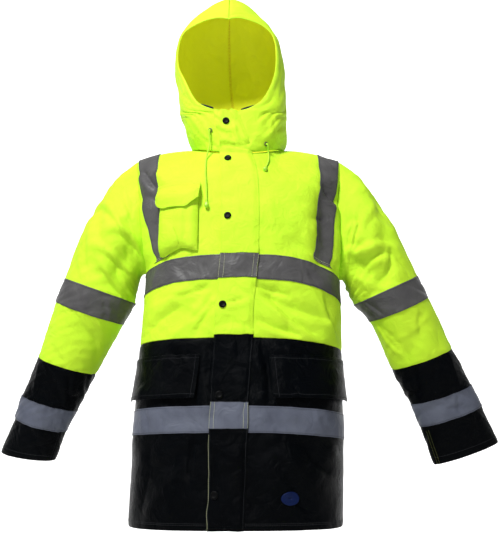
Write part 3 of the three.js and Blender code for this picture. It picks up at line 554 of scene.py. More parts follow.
@dataclass(frozen=True)
class Finish:
    """A surface finish: its colour varies a little by place and its relief is a bump."""

    name: str
    colour: Colour
    shade: Colour
    roughness: float
    specular: float = 0.3
    sheen: float = 0.0
    patch_size: float = 9.0
    grain_size: float = 700.0
    grain_depth: float = 0.00012
    crease_size: float = 38.0
    crease_depth: float = 0.0016
    weave: float = 0.0
    # painted light: a brighter colour for the inner faces, standing in for light on the inside of the cloth
    inner_painted_light: Colour | None = None

    def build(self) -> bpy.types.Material:
        """Makes the node tree.

        Colour: two noise patterns, one in broad patches and one as fine as grain, mix the colour with its
        shade, and inner faces take a brighter colour where there is one, which is painted light on the
        inside.
        Bump: broad creases from a warped noise, grain, and where weave is set two crossed waves on the
        cloth's own UV map.

        Returns:
            The material.
        """
        material = bpy.data.materials.new(self.name)
        material.use_nodes = True
        nodes, links = material.node_tree.nodes, material.node_tree.links
        shader = nodes["Principled BSDF"]
        shader.inputs["Roughness"].default_value = self.roughness
        shader.inputs["Specular IOR Level"].default_value = self.specular
        shader.inputs["Sheen Weight"].default_value = self.sheen
        shader.inputs["Sheen Roughness"].default_value = 0.45
        place = nodes.new("ShaderNodeTexCoord")

        def noise(scale: float, detail: float, distortion: float = 0.0) -> bpy.types.NodeSocket:
            """A noise pattern on object coordinates.

            Args:
                scale: how fine it is.
                detail: how many finer layers it has.
                distortion: how much it is warped.

            Returns:
                Its value.
            """
            node = nodes.new("ShaderNodeTexNoise")
            for name, value in (("Scale", scale), ("Detail", detail), ("Distortion", distortion)):
                node.inputs[name].default_value = value
            links.new(place.outputs["Object"], node.inputs["Vector"])
            return node.outputs["Fac"]

        def maths(operation: str, a: bpy.types.NodeSocket, b: bpy.types.NodeSocket | float
                  ) -> bpy.types.NodeSocket:
            """One arithmetic node.

            Args:
                operation: what it does.
                a: its first value.
                b: its second value.

            Returns:
                The outcome.
            """
            node = nodes.new("ShaderNodeMath")
            node.operation = operation
            links.new(a, node.inputs[0])
            if isinstance(b, float):
                node.inputs[1].default_value = b
            else:
                links.new(b, node.inputs[1])
            return node.outputs[0]

        grain = noise(self.grain_size, 2.0)
        patches = maths("MULTIPLY", noise(self.patch_size, 3.0, 0.4), 0.7)
        share = maths("ADD", patches, maths("MULTIPLY", grain, 0.3))
        ramp = nodes.new("ShaderNodeValToRGB")
        low, high = ramp.color_ramp.elements
        low.position, low.color = 0.36, (*self.shade, 1)
        high.position, high.color = 0.62, (*self.colour, 1)
        links.new(share, ramp.inputs["Fac"])
        colour = ramp.outputs["Color"]
        # painted light: inner faces take the brighter inner colour
        if self.inner_painted_light:
            inside = nodes.new("ShaderNodeAttribute")
            inside.attribute_name = "inside"
            blend = nodes.new("ShaderNodeMix")
            blend.data_type = "RGBA"
            blend.inputs["B"].default_value = (*self.inner_painted_light, 1)
            links.new(inside.outputs["Fac"], blend.inputs["Factor"])
            links.new(colour, blend.inputs["A"])
            colour = blend.outputs["Result"]
        links.new(colour, shader.inputs["Base Color"])

        height = grain
        if self.weave:
            waves = []
            for direction in ("X", "Y"):
                wave = nodes.new("ShaderNodeTexWave")
                wave.bands_direction = direction
                wave.inputs["Scale"].default_value = self.weave
                links.new(place.outputs["UV"], wave.inputs["Vector"])
                waves.append(wave.outputs["Fac"])
            height = maths("ADD", maths("MULTIPLY", maths("MULTIPLY", *waves), 1.2), height)
        fine = nodes.new("ShaderNodeBump")
        fine.inputs["Distance"].default_value = self.grain_depth
        links.new(height, fine.inputs["Height"])
        broad = nodes.new("ShaderNodeBump")
        broad.inputs["Distance"].default_value = self.crease_depth
        links.new(noise(self.crease_size, 4.0, 1.6), broad.inputs["Height"])
        links.new(broad.outputs["Normal"], fine.inputs["Normal"])
        links.new(fine.outputs["Normal"], shader.inputs["Normal"])
        return material


# its inner faces are painted brighter and yellower than the outer ones, as painted light on the inside
LIME = Finish("lime_oxford", (0.615, 0.935, 0.034), (0.53, 0.88, 0.026), 0.7, 0.18, crease_depth=0.0022,
              weave=420.0, inner_painted_light=(0.96, 0.99, 0.04))
BLACK = Finish("black_oxford", (0.0006, 0.0012, 0.0021), (0.0003, 0.0007, 0.0012), 0.32, 0.04,
               crease_size=26.0, crease_depth=0.004, weave=420.0)
# The upper and lower tapes are one tape: the two copies paint in the different light on them, the lower one
# lighter and bluer, the upper one darker and warmer.
TAPE = Finish("tape_upper_painted_darker", (0.092, 0.090, 0.090), (0.068, 0.066, 0.068), 0.5, 0.3, 0.0, 22.0, 900.0,
              0.00008, 30.0, 0.0028)
TAPE_LOWER_PAINTED_LIGHTER = Finish("tape_lower_painted_lighter", (0.112, 0.124, 0.165), (0.078, 0.087, 0.120), 0.5, 0.3, 0.0, 22.0, 900.0,
                  0.00008, 30.0, 0.0028)
THREAD_LIME = Finish("thread_lime", (0.70, 0.92, 0.05), (0.62, 0.84, 0.04), 0.7)
THREAD_PALE = Finish("thread_pale", (0.62, 0.66, 0.40), (0.50, 0.54, 0.32), 0.7)
THREAD_DARK = Finish("thread_dark", (0.022, 0.024, 0.028), (0.014, 0.015, 0.018), 0.7)
THREAD_OLIVE = Finish("thread_olive", (0.13, 0.14, 0.03), (0.09, 0.10, 0.02), 0.7)
THREAD_ORANGE = Finish("thread_orange", (0.72, 0.42, 0.02), (0.6, 0.34, 0.015), 0.7)
SNAP_BLACK = Finish("snap_black", (0.0015, 0.0018, 0.002), (0.001, 0.0012, 0.0014), 0.45, 0.08, 0.0, 60.0,
                    1500.0, 0.00002, 80.0, 0.0001)
NAVY = Finish("patch_navy", (0.003, 0.010, 0.060), (0.002, 0.008, 0.046), 0.5, 0.1, 0.0, 60.0, 1800.0,
              0.00015, 200.0, 0.0002)
HOOK = Finish("hook_tape", (0.006, 0.012, 0.03), (0.004, 0.008, 0.018), 0.9, 0.1, 0.2, 60.0, 1400.0, 0.0004,
              200.0, 0.0004)
CORD_LIME = Finish("cord_lime", (0.54, 0.93, 0.04), (0.44, 0.82, 0.03), 0.75, 0.2, 0.1, 60.0, 1600.0, 0.0003,
                   300.0, 0.0004)
EYELET = Finish("eyelet_olive", (0.11, 0.15, 0.02), (0.08, 0.11, 0.015), 0.4, 0.5, 0.0, 60.0, 900.0, 0.00002,
                90.0, 0.0001)
PLASTIC = Finish("cord_end_green", (0.42, 0.80, 0.05), (0.38, 0.74, 0.04), 0.35, 0.5, 0.0, 40.0, 900.0,
                 0.00002, 90.0, 0.0001)
STUDIO_WHITE = Finish("studio_white", (0.80, 0.80, 0.80), (0.78, 0.78, 0.78), 0.9, 0.05, 0.0, 2.0, 40.0,
                      0.0001, 3.0, 0.0001)


class Thread(Enum):
    """The threads, each with its finish and the material slot of what it is sewn on."""

    TAPE = (THREAD_DARK, "silver_tape")
    PALE = (THREAD_PALE, "silver_tape")
    LIME = (THREAD_LIME, "lime_cloth")
    BLACK = (THREAD_DARK, "black_cloth")
    ORANGE = (THREAD_ORANGE, "lime_cloth")
    OLIVE = (THREAD_OLIVE, "black_cloth")


def attach(piece: bpy.types.Object, finish: Finish, slot: str, *nodes: str) -> bpy.types.Object:
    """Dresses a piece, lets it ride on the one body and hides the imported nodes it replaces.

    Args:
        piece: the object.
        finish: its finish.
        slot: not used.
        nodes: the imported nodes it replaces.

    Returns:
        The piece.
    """
    piece.data.materials.clear()
    piece.data.materials.append(Finishes.of(finish))
    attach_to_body(piece, BODY)
    if nodes:
        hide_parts(*nodes)
    log.info("%s: %d faces", piece.name, len(piece.data.polygons))
    return piece


def cloth_piece(name: str, spots: Spots, low: Array | float, high: Array | float, finish: Finish, slot: str,
                rim: float = RIM) -> None:
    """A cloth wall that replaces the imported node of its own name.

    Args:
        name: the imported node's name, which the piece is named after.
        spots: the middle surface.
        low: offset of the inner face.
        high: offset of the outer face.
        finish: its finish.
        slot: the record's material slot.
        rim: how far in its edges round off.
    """
    piece = attach(wall(f"{name}_cloth", spots, low, high, rim), finish, slot, name)


def sewn_cloth(name: str, spots: Spots, finish: Finish, slot: str, depth: float, reach: float = 4.5) -> None:
    """A panel of shell cloth that dips along its edges as a bell does.

    Args:
        name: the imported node's name.
        spots: the middle surface.
        finish: its finish.
        slot: the record's material slot.
        depth: how far its edges dip.
        reach: how far in from an edge the dip goes.
    """
    dip = -depth * np.exp(-((spots.border() / reach) ** 2))
    cloth_piece(name, spots, -SKIN + dip, SKIN + dip, finish, slot)


def tape_piece(name: str, spots: Spots, finish: Finish, base: float = ON_PANEL) -> None:
    """A piece of reflective tape, so far over the panel that gives its points."""
    cloth_piece(name, spots, base, base + TAPE_THICK, finish, "silver_tape")


def flap_piece(name: str, spots: Spots, finish: Finish, slot: str) -> None:
    """A flap or a pouch of thinner cloth, half of it on either side of its points."""
    cloth_piece(name, spots, -FLAP_CLOTH / 2, FLAP_CLOTH / 2, finish, slot, FLAP_RIM)


@dataclass
class Stitching:
    """Gathers lines of stitches by thread and makes one piece of each thread's stitches."""

    pitch: float = 3.4
    length: float = 2.3
    radius: float = 0.42
    lines: dict[Thread, list[tuple[Array, Array]]] = field(default_factory=dict)
    RINGS = ((0, 0.02), (0.15, 1), (0.85, 1), (1, 0.02))  # share of the length, share of the radius
    CORNERS = 5

    def add(self, thread: Thread, points: Array, normals: Array, lift: float = 0.15) -> None:
        """Adds a line of stitches.

        Args:
            thread: the thread.
            points: the line, in millimetres.
            normals: the way that the cloth looks along it.
            lift: how far over the line the stitches lie.
        """
        self.lines.setdefault(thread, []).append((points + normals * lift, normals))

    def along(self, thread: Thread, spots: Spots, offset: Array | float, rows: Sequence[int] = (),
              cols: Sequence[int] = (), over: slice = slice(None)) -> None:
        """Adds stitches along rows and columns of a piece, all the way round where a row is a ring.

        Args:
            thread: the thread.
            spots: the piece's points.
            offset: of the face that the stitches lie on.
            rows: numbers of the rows.
            cols: numbers of the columns.
            over: the rows that stitches along columns run over.
        """
        points, normals = spots.out(offset), spots.n
        for col in cols:
            self.add(thread, points[over, col], normals[over, col])
        if spots.closed:
            points, normals = (np.concatenate([grid, grid[:, :1]], 1) for grid in (points, normals))
        for row in rows:
            self.add(thread, points[row], normals[row])

    def stitches(self, points: Array, normals: Array) -> tuple[Array, Array]:
        """Stitches along one line: short five-sided rods, thick in the middle and closed at both ends.

        Args:
            points: the line.
            normals: the way that the cloth looks along it.

        Returns:
            Vertices and triangles.
        """
        gone = distances(points)
        count = max(1, int(gone[-1] // self.pitch))
        spare = gone[-1] - count * self.pitch + self.pitch - self.length
        starts = np.arange(count) * self.pitch + spare / 2
        share, thick = np.array(self.RINGS).T
        at = starts[:, None] + share * self.length
        centre = np.stack([np.interp(at, gone, points[:, k]) for k in range(3)], -1)
        up = unit(np.stack([np.interp(at, gone, normals[:, k]) for k in range(3)], -1))
        along = unit(centre[:, -1:] - centre[:, :1])
        side = unit(np.cross(up, along))
        up = np.cross(along, side)
        corner = np.arange(self.CORNERS)
        turn = corner * 2 * np.pi / self.CORNERS
        ring = side[:, :, None] * np.cos(turn)[:, None] + up[:, :, None] * np.sin(turn)[:, None]
        vertices = centre[:, :, None] + ring * (thick * self.radius)[:, None, None]
        base = np.arange(count)[:, None, None] * thick.size + np.arange(thick.size - 1)[:, None]
        a, b = (base * self.CORNERS + near for near in (corner, (corner + 1) % self.CORNERS))
        quads = np.stack([a, a + self.CORNERS, b + self.CORNERS, b], -1).reshape(-1, 4)
        return vertices.reshape(-1, 3), quads

    def build(self) -> None:
        """Makes the pieces."""
        for thread, lines in self.lines.items():
            vertices, faces, count = [], [], 0
            for points, normals in lines:
                v, f = self.stitches(points, normals)
                vertices.append(v)
                faces.append(f + count)
                count += len(v)
            name = f"stitches_{thread.name.lower()}"
            attach(new_object(name, np.concatenate(vertices), np.concatenate(faces)), *thread.value)


class Torso:
    """The body's surface: an angle from straight ahead and a height give a point."""

    PLAN = Table("z shift half front back", [
        (-802, -7, 216, 152, 142), (-626, -2, 216, 154, 140), (-490, 1, 213, 151, 137),
        (-380, 5, 210, 149, 137), (-300, 6, 207, 146, 139), (-200, 2, 213, 139, 139),
        (-110, -2, 226, 124, 127), (-40, -3, 233, 98, 98), (60, -3, 235, 84, 60),
    ])
    SHOULDER = Table("out z", [(0, -3), (96, -3), (130, -4), (178, -12), (230, -27)])
    ARMHOLE = Table("rise reach", [
        (0, 1), (0.1, 0.985), (0.3, 0.965), (0.55, 0.957), (0.8, 0.96), (1, 0.962)])
    BRACE = Table("rise strip", [(0, 82), (0.1, 48), (0.3, 25), (0.55, 16), (0.8, 10), (1, 3)])
    FLAP = Table("z centre half", [
        (-802, -24, 34), (-626, -19, 37), (-545, -16.5, 37), (-440, -9.5, 38), (-386, -9.5, 38),
        (-330, -4, 38), (-272, 0.5, 38.5), (-110, 0, 39), (-38, -8, 34), (62, -31, 25),
    ])
    FRONT_FOLDS = folds_of(8, [
        (-182, -120, -172, -285, 20, -9), (-205, -150, -200, -262, 13, 7), (184, -115, 170, -290, 20, -9),
        (208, -150, 206, -275, 13, 7), (60, -345, 150, -405, 22, -5), (-70, -350, -140, -420, 22, -5),
        (-90, -655, -170, -700, 26, -7), (70, -650, 150, -720, 28, 6),
        # beside the braces
        (-208, -66, -182, -112, 9, -3.6, 0, 0.5), (-150, -108, -184, -72, 9, 2.0),
        (184, -22, 206, -40, 8, -3.2, 0, 0.5), (176, -106, 206, -142, 9, -3.6, 0, 0.6),
        (150, -186, 196, -176, 9, -1.8), (178, -250, 152, -206, 10, 1.4),
        # chest
        (46, -205, 132, -262, 16, -1.2, 6), (60, -120, 70, -250, 22, 1.0),
        (110, -235, 150, -262, 8, -1.1, 0, 0.5), (-60, -90, -52, -240, 14, -1.0),
        (-30, -160, 10, -235, 26, 1.0), (76, -58, 128, -96, 14, -0.9, 4),
        # between the chest tape and the colour seam
        (-24, -371, 16, -361, 7, -1.3, 2, 0.6), (-46, -372, -84, -428, 8, -2.0, 3, 0.5),
        (58, -356, 152, -430, 9, -3.0, 5, 0.6), (38, -404, 124, -434, 8, -2.4, 4, 0.6),
        (30, -338, 104, -356, 8, -1.8, -3, 0.5), (42, -346, 184, -398, 12, -1.8, 8, 0.4),
        (-52, -352, -96, -404, 8, -1.8, -4, 0.4), (-108, -346, -176, -372, 12, 1.6),
        (-120, -376, -190, -428, 12, -2.0, 5, 0.4), (-28, -412, 28, -424, 9, -1.2, -3, 0.5),
        (150, -350, 194, -430, 10, 1.6), (176, -352, 200, -420, 8, -2.2, 3, 0.5),
        (-66, -340, -150, -356, 9, -1.5, -4, 0.4), (-90, -402, -128, -432, 8, 1.6),
        # chest tape
        (-70, -292, -58, -316, 7, -1.3, 0, 0.6), (44, -288, 62, -300, 6, -1.2, 0, 0.6),
        (90, -298, 106, -314, 6, 1.2), (-120, -300, -104, -322, 8, -1.1, 0, 0.6),
        (140, -306, 156, -330, 7, -1.2, 0, 0.6), (-170, -290, -176, -320, 7, 1.2),
        # black part
        (-56, -462, -52, -560, 10, -1.8, 3, 0.4), (46, -458, 58, -560, 10, -2.2, -4, 0.4),
        (30, -480, 52, -520, 7, 1.8), (-14, -462, -34, -530, 12, 1.4), (10, -640, 34, -770, 16, -2.2, 5),
        (-110, -640, -130, -780, 22, 1.8, 6), (-40, -650, -60, -780, 10, -1.8),
        (120, -640, 176, -700, 14, -2.0, 4), (-170, -640, -190, -780, 14, -2.0),
        (88, -690, 40, -780, 14, 1.8), (-84, -640, -92, -720, 10, -1.8, 3, 0.5),
        (60, -660, 130, -776, 12, -1.6, -6, 0.4),
        # hem tape
        (-150, -590, -140, -618, 7, -1.3, 0, 0.6), (-96, -588, -84, -616, 7, -1.3, 0, 0.6),
        (60, -586, 74, -612, 7, -1.2, 0, 0.6), (150, -590, 160, -620, 8, 1.2),
        (-182, -586, -176, -620, 7, -1.3, 0, 0.6),
    ])
    BACK_FOLDS = folds_of(5, [
        (-90, -350, 80, -372, 26, -6), (-30, -500, -60, -760, 30, 7), (90, -480, 120, -770, 30, -7),
        (-150, -150, -165, -290, 20, -8), (155, -150, 168, -295, 20, -8),
        (-120, -92, 40, -118, 18, -1.6, 8, 0.3), (-60, -190, 130, -238, 16, -1.5, -10, 0.4),
        (-100, -330, -20, -398, 10, -2.4, 5, 0.5), (60, -336, 150, -416, 11, -2.4, -6, 0.5),
        (0, -352, 70, -430, 9, 2.0, 4), (-150, -380, -80, -432, 12, -2.2, 3),
        (-130, -470, -150, -560, 14, -2.6, 4), (30, -470, 10, -566, 13, -2.2, -5, 0.3),
        (-90, -640, -110, -780, 18, -2.4, 6), (60, -650, 30, -790, 20, 2.4, -6),
        (150, -640, 176, -780, 16, -2.4, 4), (-180, -650, -168, -780, 14, 2.0),
    ])
    STREWN = [
        *scatter(3, (-215, 215, -440, -325), 34, -0.5, (6.5, 10)),
        *scatter(4, (-200, 200, -800, -450), 44, -1.2, (6.5, 10)),
        *scatter(5, (-200, 200, -320, -60), 16, -0.8, (8, 12)),
    ]

    FLAP_MIDDLE, BESIDE_FLAP, DEEPER = -8, (40, 62), 0.4  # folds are deeper so far beside the flap

    @staticmethod
    def colour_seam(x: Array) -> Array:
        """Height of the colour seam, which dips towards the sides."""
        return COLOUR_SEAM_Z - np.where(x > 0, 12, 2) * (np.abs(x) / 215) ** 2

    @staticmethod
    def chest_tape_top(x: Array) -> Array:
        """Height of the chest tape's top edge."""
        return CHEST_TAPE_TOP_Z - np.where(x > 0, 30, 18) * np.minimum(1, np.abs(x) / 208) ** 3

    @staticmethod
    def hem_tape_top(x: Array) -> Array:
        """Height of the hem tape's top edge."""
        return HEM_TAPE_TOP_Z - np.where(x > 0, 10, 3) * np.minimum(1, np.abs(x) / 212) ** 2

    def pit(self, x: Array) -> Array:
        """Height of the row at the armhole's foot."""
        return self.chest_tape_top(x) + PIT_ABOVE_TAPE

    def ridge(self, x: Array) -> Array:
        """The shoulder line's height, with a hidden rise inside the neck that rounds the neckline."""
        out = np.abs(x - NECK_CENTRE)
        return self.SHOULDER.at("z", out) + NECK_BUMP * np.clip(1 - (out / NECK_HALF) ** 2, 0, 1) ** 2

    def panel_top(self, face: int, x: Array) -> Array:
        """Top edge of a panel: the shoulder line, and the neckline inside the neck.

        Args:
            face: FRONT or BACK.
            x: where along the edge.

        Returns:
            Its height.
        """
        out = np.abs(x - NECK_CENTRE) / NECK_HALF
        inside = np.minimum(out, 1)
        front = mix(NECK_FRONT_Z, NECK_SIDE_Z, inside**2.5)
        back = mix(NECK_BACK_Z, NECK_SIDE_Z, inside**2)
        return np.where(out >= 1, self.ridge(x), front if face == FRONT else back)

    def base(self, face: int, angle: Array, z: Array) -> Array:
        """A squared ellipse at each height, whose depth closes on the shoulder line as a dome does.

        Args:
            face: FRONT or BACK.
            angle: from straight ahead, rising to the wearer's left.
            z: height.

        Returns:
            Points, with a last axis of 3.
        """
        x = self.PLAN.at("shift", z) + self.PLAN.at("half", z) * across(angle)
        down = np.clip((self.ridge(x) - z) / ROOF_HEIGHT, 0, 1)
        depth = self.PLAN.at("front" if face == FRONT else "back", z) * np.sqrt(1 - (1 - down) ** 2)
        y = -ahead(angle) * depth - face * SEAM / 2
        return np.stack(np.broadcast_arrays(x, y, z), -1)

    def base_normal(self, face: int, angle: Array, z: Array) -> Array:
        """The way that the base looks, from small steps over it.

        Args:
            face: FRONT or BACK.
            angle: from straight ahead.
            z: height.

        Returns:
            Unit vectors.
        """
        du = self.base(face, angle + 0.01, z) - self.base(face, angle - 0.01, z)
        dv = self.base(face, angle, z + 1.5) - self.base(face, angle, z - 1.5)
        return unit(np.cross(du, dv))

    def point(self, face: int, angle: Array, z: Array) -> Array:
        """The base moved out by its folds and quiet waves, which fade towards the side seams.

        Args:
            face: FRONT or BACK.
            angle: from straight ahead.
            z: height.

        Returns:
            Points, with a last axis of 3.
        """
        p = self.base(face, angle, z)
        x = p[..., 0]
        folds = relief_of(self.FRONT_FOLDS if face == FRONT else self.BACK_FOLDS, x, z)
        beside = step(*self.BESIDE_FLAP, np.abs(x - self.FLAP_MIDDLE))
        folds = (folds + relief_of(self.STREWN, x, z)) * (1 + self.DEEPER * beside)
        quiet = np.minimum(1, np.abs(np.cos(angle)) * 3)
        waves = undulation(x, z, 11 + face, 90, 0.9) + undulation(x, z, 21 + face, 34, 0.45)
        chest, hem = z - self.chest_tape_top(x), z - self.hem_tape_top(x)
        near = [chest, chest + TAPE_WIDTH, hem, hem + TAPE_WIDTH, z - self.colour_seam(x), z - HEM_Z - 10]
        waves = waves + pucker(x, z, near, 81 + face)
        top = step(0, 40, self.ridge(x) - z)
        out = (folds + waves * (0.3 + 0.7 * top)) * quiet
        return p + self.base_normal(face, angle, z) * out[..., None]

    def spots(self, face: int, angle: Array, z: Array) -> Spots:
        """Spots of the surface; on the shoulder line the front and the back both face straight up.

        Args:
            face: FRONT or BACK.
            angle: from straight ahead.
            z: height.

        Returns:
            The spots.
        """
        p = self.point(face, angle, z)
        du = self.point(face, angle + 0.008, z) - self.point(face, angle - 0.008, z)
        dv = self.point(face, angle, z + 1.2) - self.point(face, angle, z - 1.2)
        n = unit(np.cross(du, dv))
        n[..., 1] *= np.minimum(1, np.maximum(0, self.ridge(p[..., 0]) - z) / 4)
        return Spots(p, unit(n))

    def at_x(self, face: int, x: Array, z: Array) -> Spots:
        """Spots of the surface at stated X and heights."""
        angle = angle_of((x - self.PLAN.at("shift", z)) / self.PLAN.at("half", z))
        return self.spots(face, self.turned(face, angle), z)

    @staticmethod
    def turned(face: int, angle: Array) -> Array:
        """An angle on the front as it is, or on the back as far to the same side."""
        return angle if face == FRONT else np.pi - angle

    def middle(self, face: int, side: int, z: Array) -> Array:
        """Angle where one side of a panel starts: the front's opening or the back's middle.

        Args:
            face: FRONT or BACK.
            side: RIGHT or LEFT.
            z: height.

        Returns:
            The angle from straight ahead, for turned().
        """
        shift, half = self.PLAN.at("shift", z), self.PLAN.at("half", z)
        x = self.FLAP.at("centre", z) + side * SEAM if face == FRONT else shift
        return angle_of((x - shift) / half)

    def row_spots(self, face: int, angle: Array, height: Callable[[Array], Array]) -> Spots:
        """Spots of rows whose height depends on X."""
        return self.spots(face, angle, self.level(face, angle, height))

    def level(self, face: int, angle: Array, height: Callable[[Array], Array]) -> Array:
        """Heights along a row whose height depends on X, found by going to and fro.

        Args:
            face: FRONT or BACK.
            angle: the row's angles.
            height: the row's height at each X.

        Returns:
            The heights.
        """
        z = np.broadcast_to(height(np.zeros(1)), np.shape(angle)).astype(float)
        for _ in range(8):
            z = height(self.base(face, angle, z)[..., 0])
        return z


TORSO = Torso()


@dataclass
class Armhole:
    """The loop where a sleeve is set in, with the direction that both sides of the seam share."""

    side: int
    count: int = 144

    def __post_init__(self) -> None:
        """Walks round the armhole: the shoulder tip, down the front, the foot, up the back."""
        self.turns = np.arange(self.count) * 2 * np.pi / self.count
        rise = (1 + np.cos(self.turns)) / 2
        edge = self.side * angle_of(TORSO.ARMHOLE.at("reach", rise))
        loops = []
        for face in (FRONT, BACK):
            height = lambda x, face=face: mix(TORSO.pit(x), TORSO.panel_top(face, x), rise)
            loops.append(TORSO.row_spots(face, TORSO.turned(face, edge), height))
        front = (np.sin(self.turns) >= -1e-9)[:, None]
        self.p = np.where(front, loops[0].p, loops[1].p)
        n = np.where(front, loops[0].n, loops[1].n)
        n = sum(np.roll(n, k, 0) for k in (-2, -1, 0, 1, 2))
        self.n = unit(n)
        along = np.roll(self.p, -1, 0) - np.roll(self.p, 1, 0)
        self.away = unit(np.cross(along, self.n)) * -self.side

    def share(self, sleeve_normal: Array) -> None:
        """Takes the mean of the body's and the sleeve's directions as the seam's own."""
        self.n = unit(self.n + sleeve_normal)

    def normal_at(self, face: int, rise: Array) -> Array:
        """The seam's direction on the front or the back.

        Args:
            face: FRONT or BACK.
            rise: shares of the way up.

        Returns:
            Unit vectors.
        """
        turn = np.arccos(np.clip(2 * rise - 1, -1, 1))
        turn = turn if face == FRONT else 2 * np.pi - turn
        turns = np.append(self.turns, 2 * np.pi)
        n = np.concatenate([self.n, self.n[:1]])
        return unit(np.stack([np.interp(turn, turns, n[:, k]) for k in range(3)], -1))


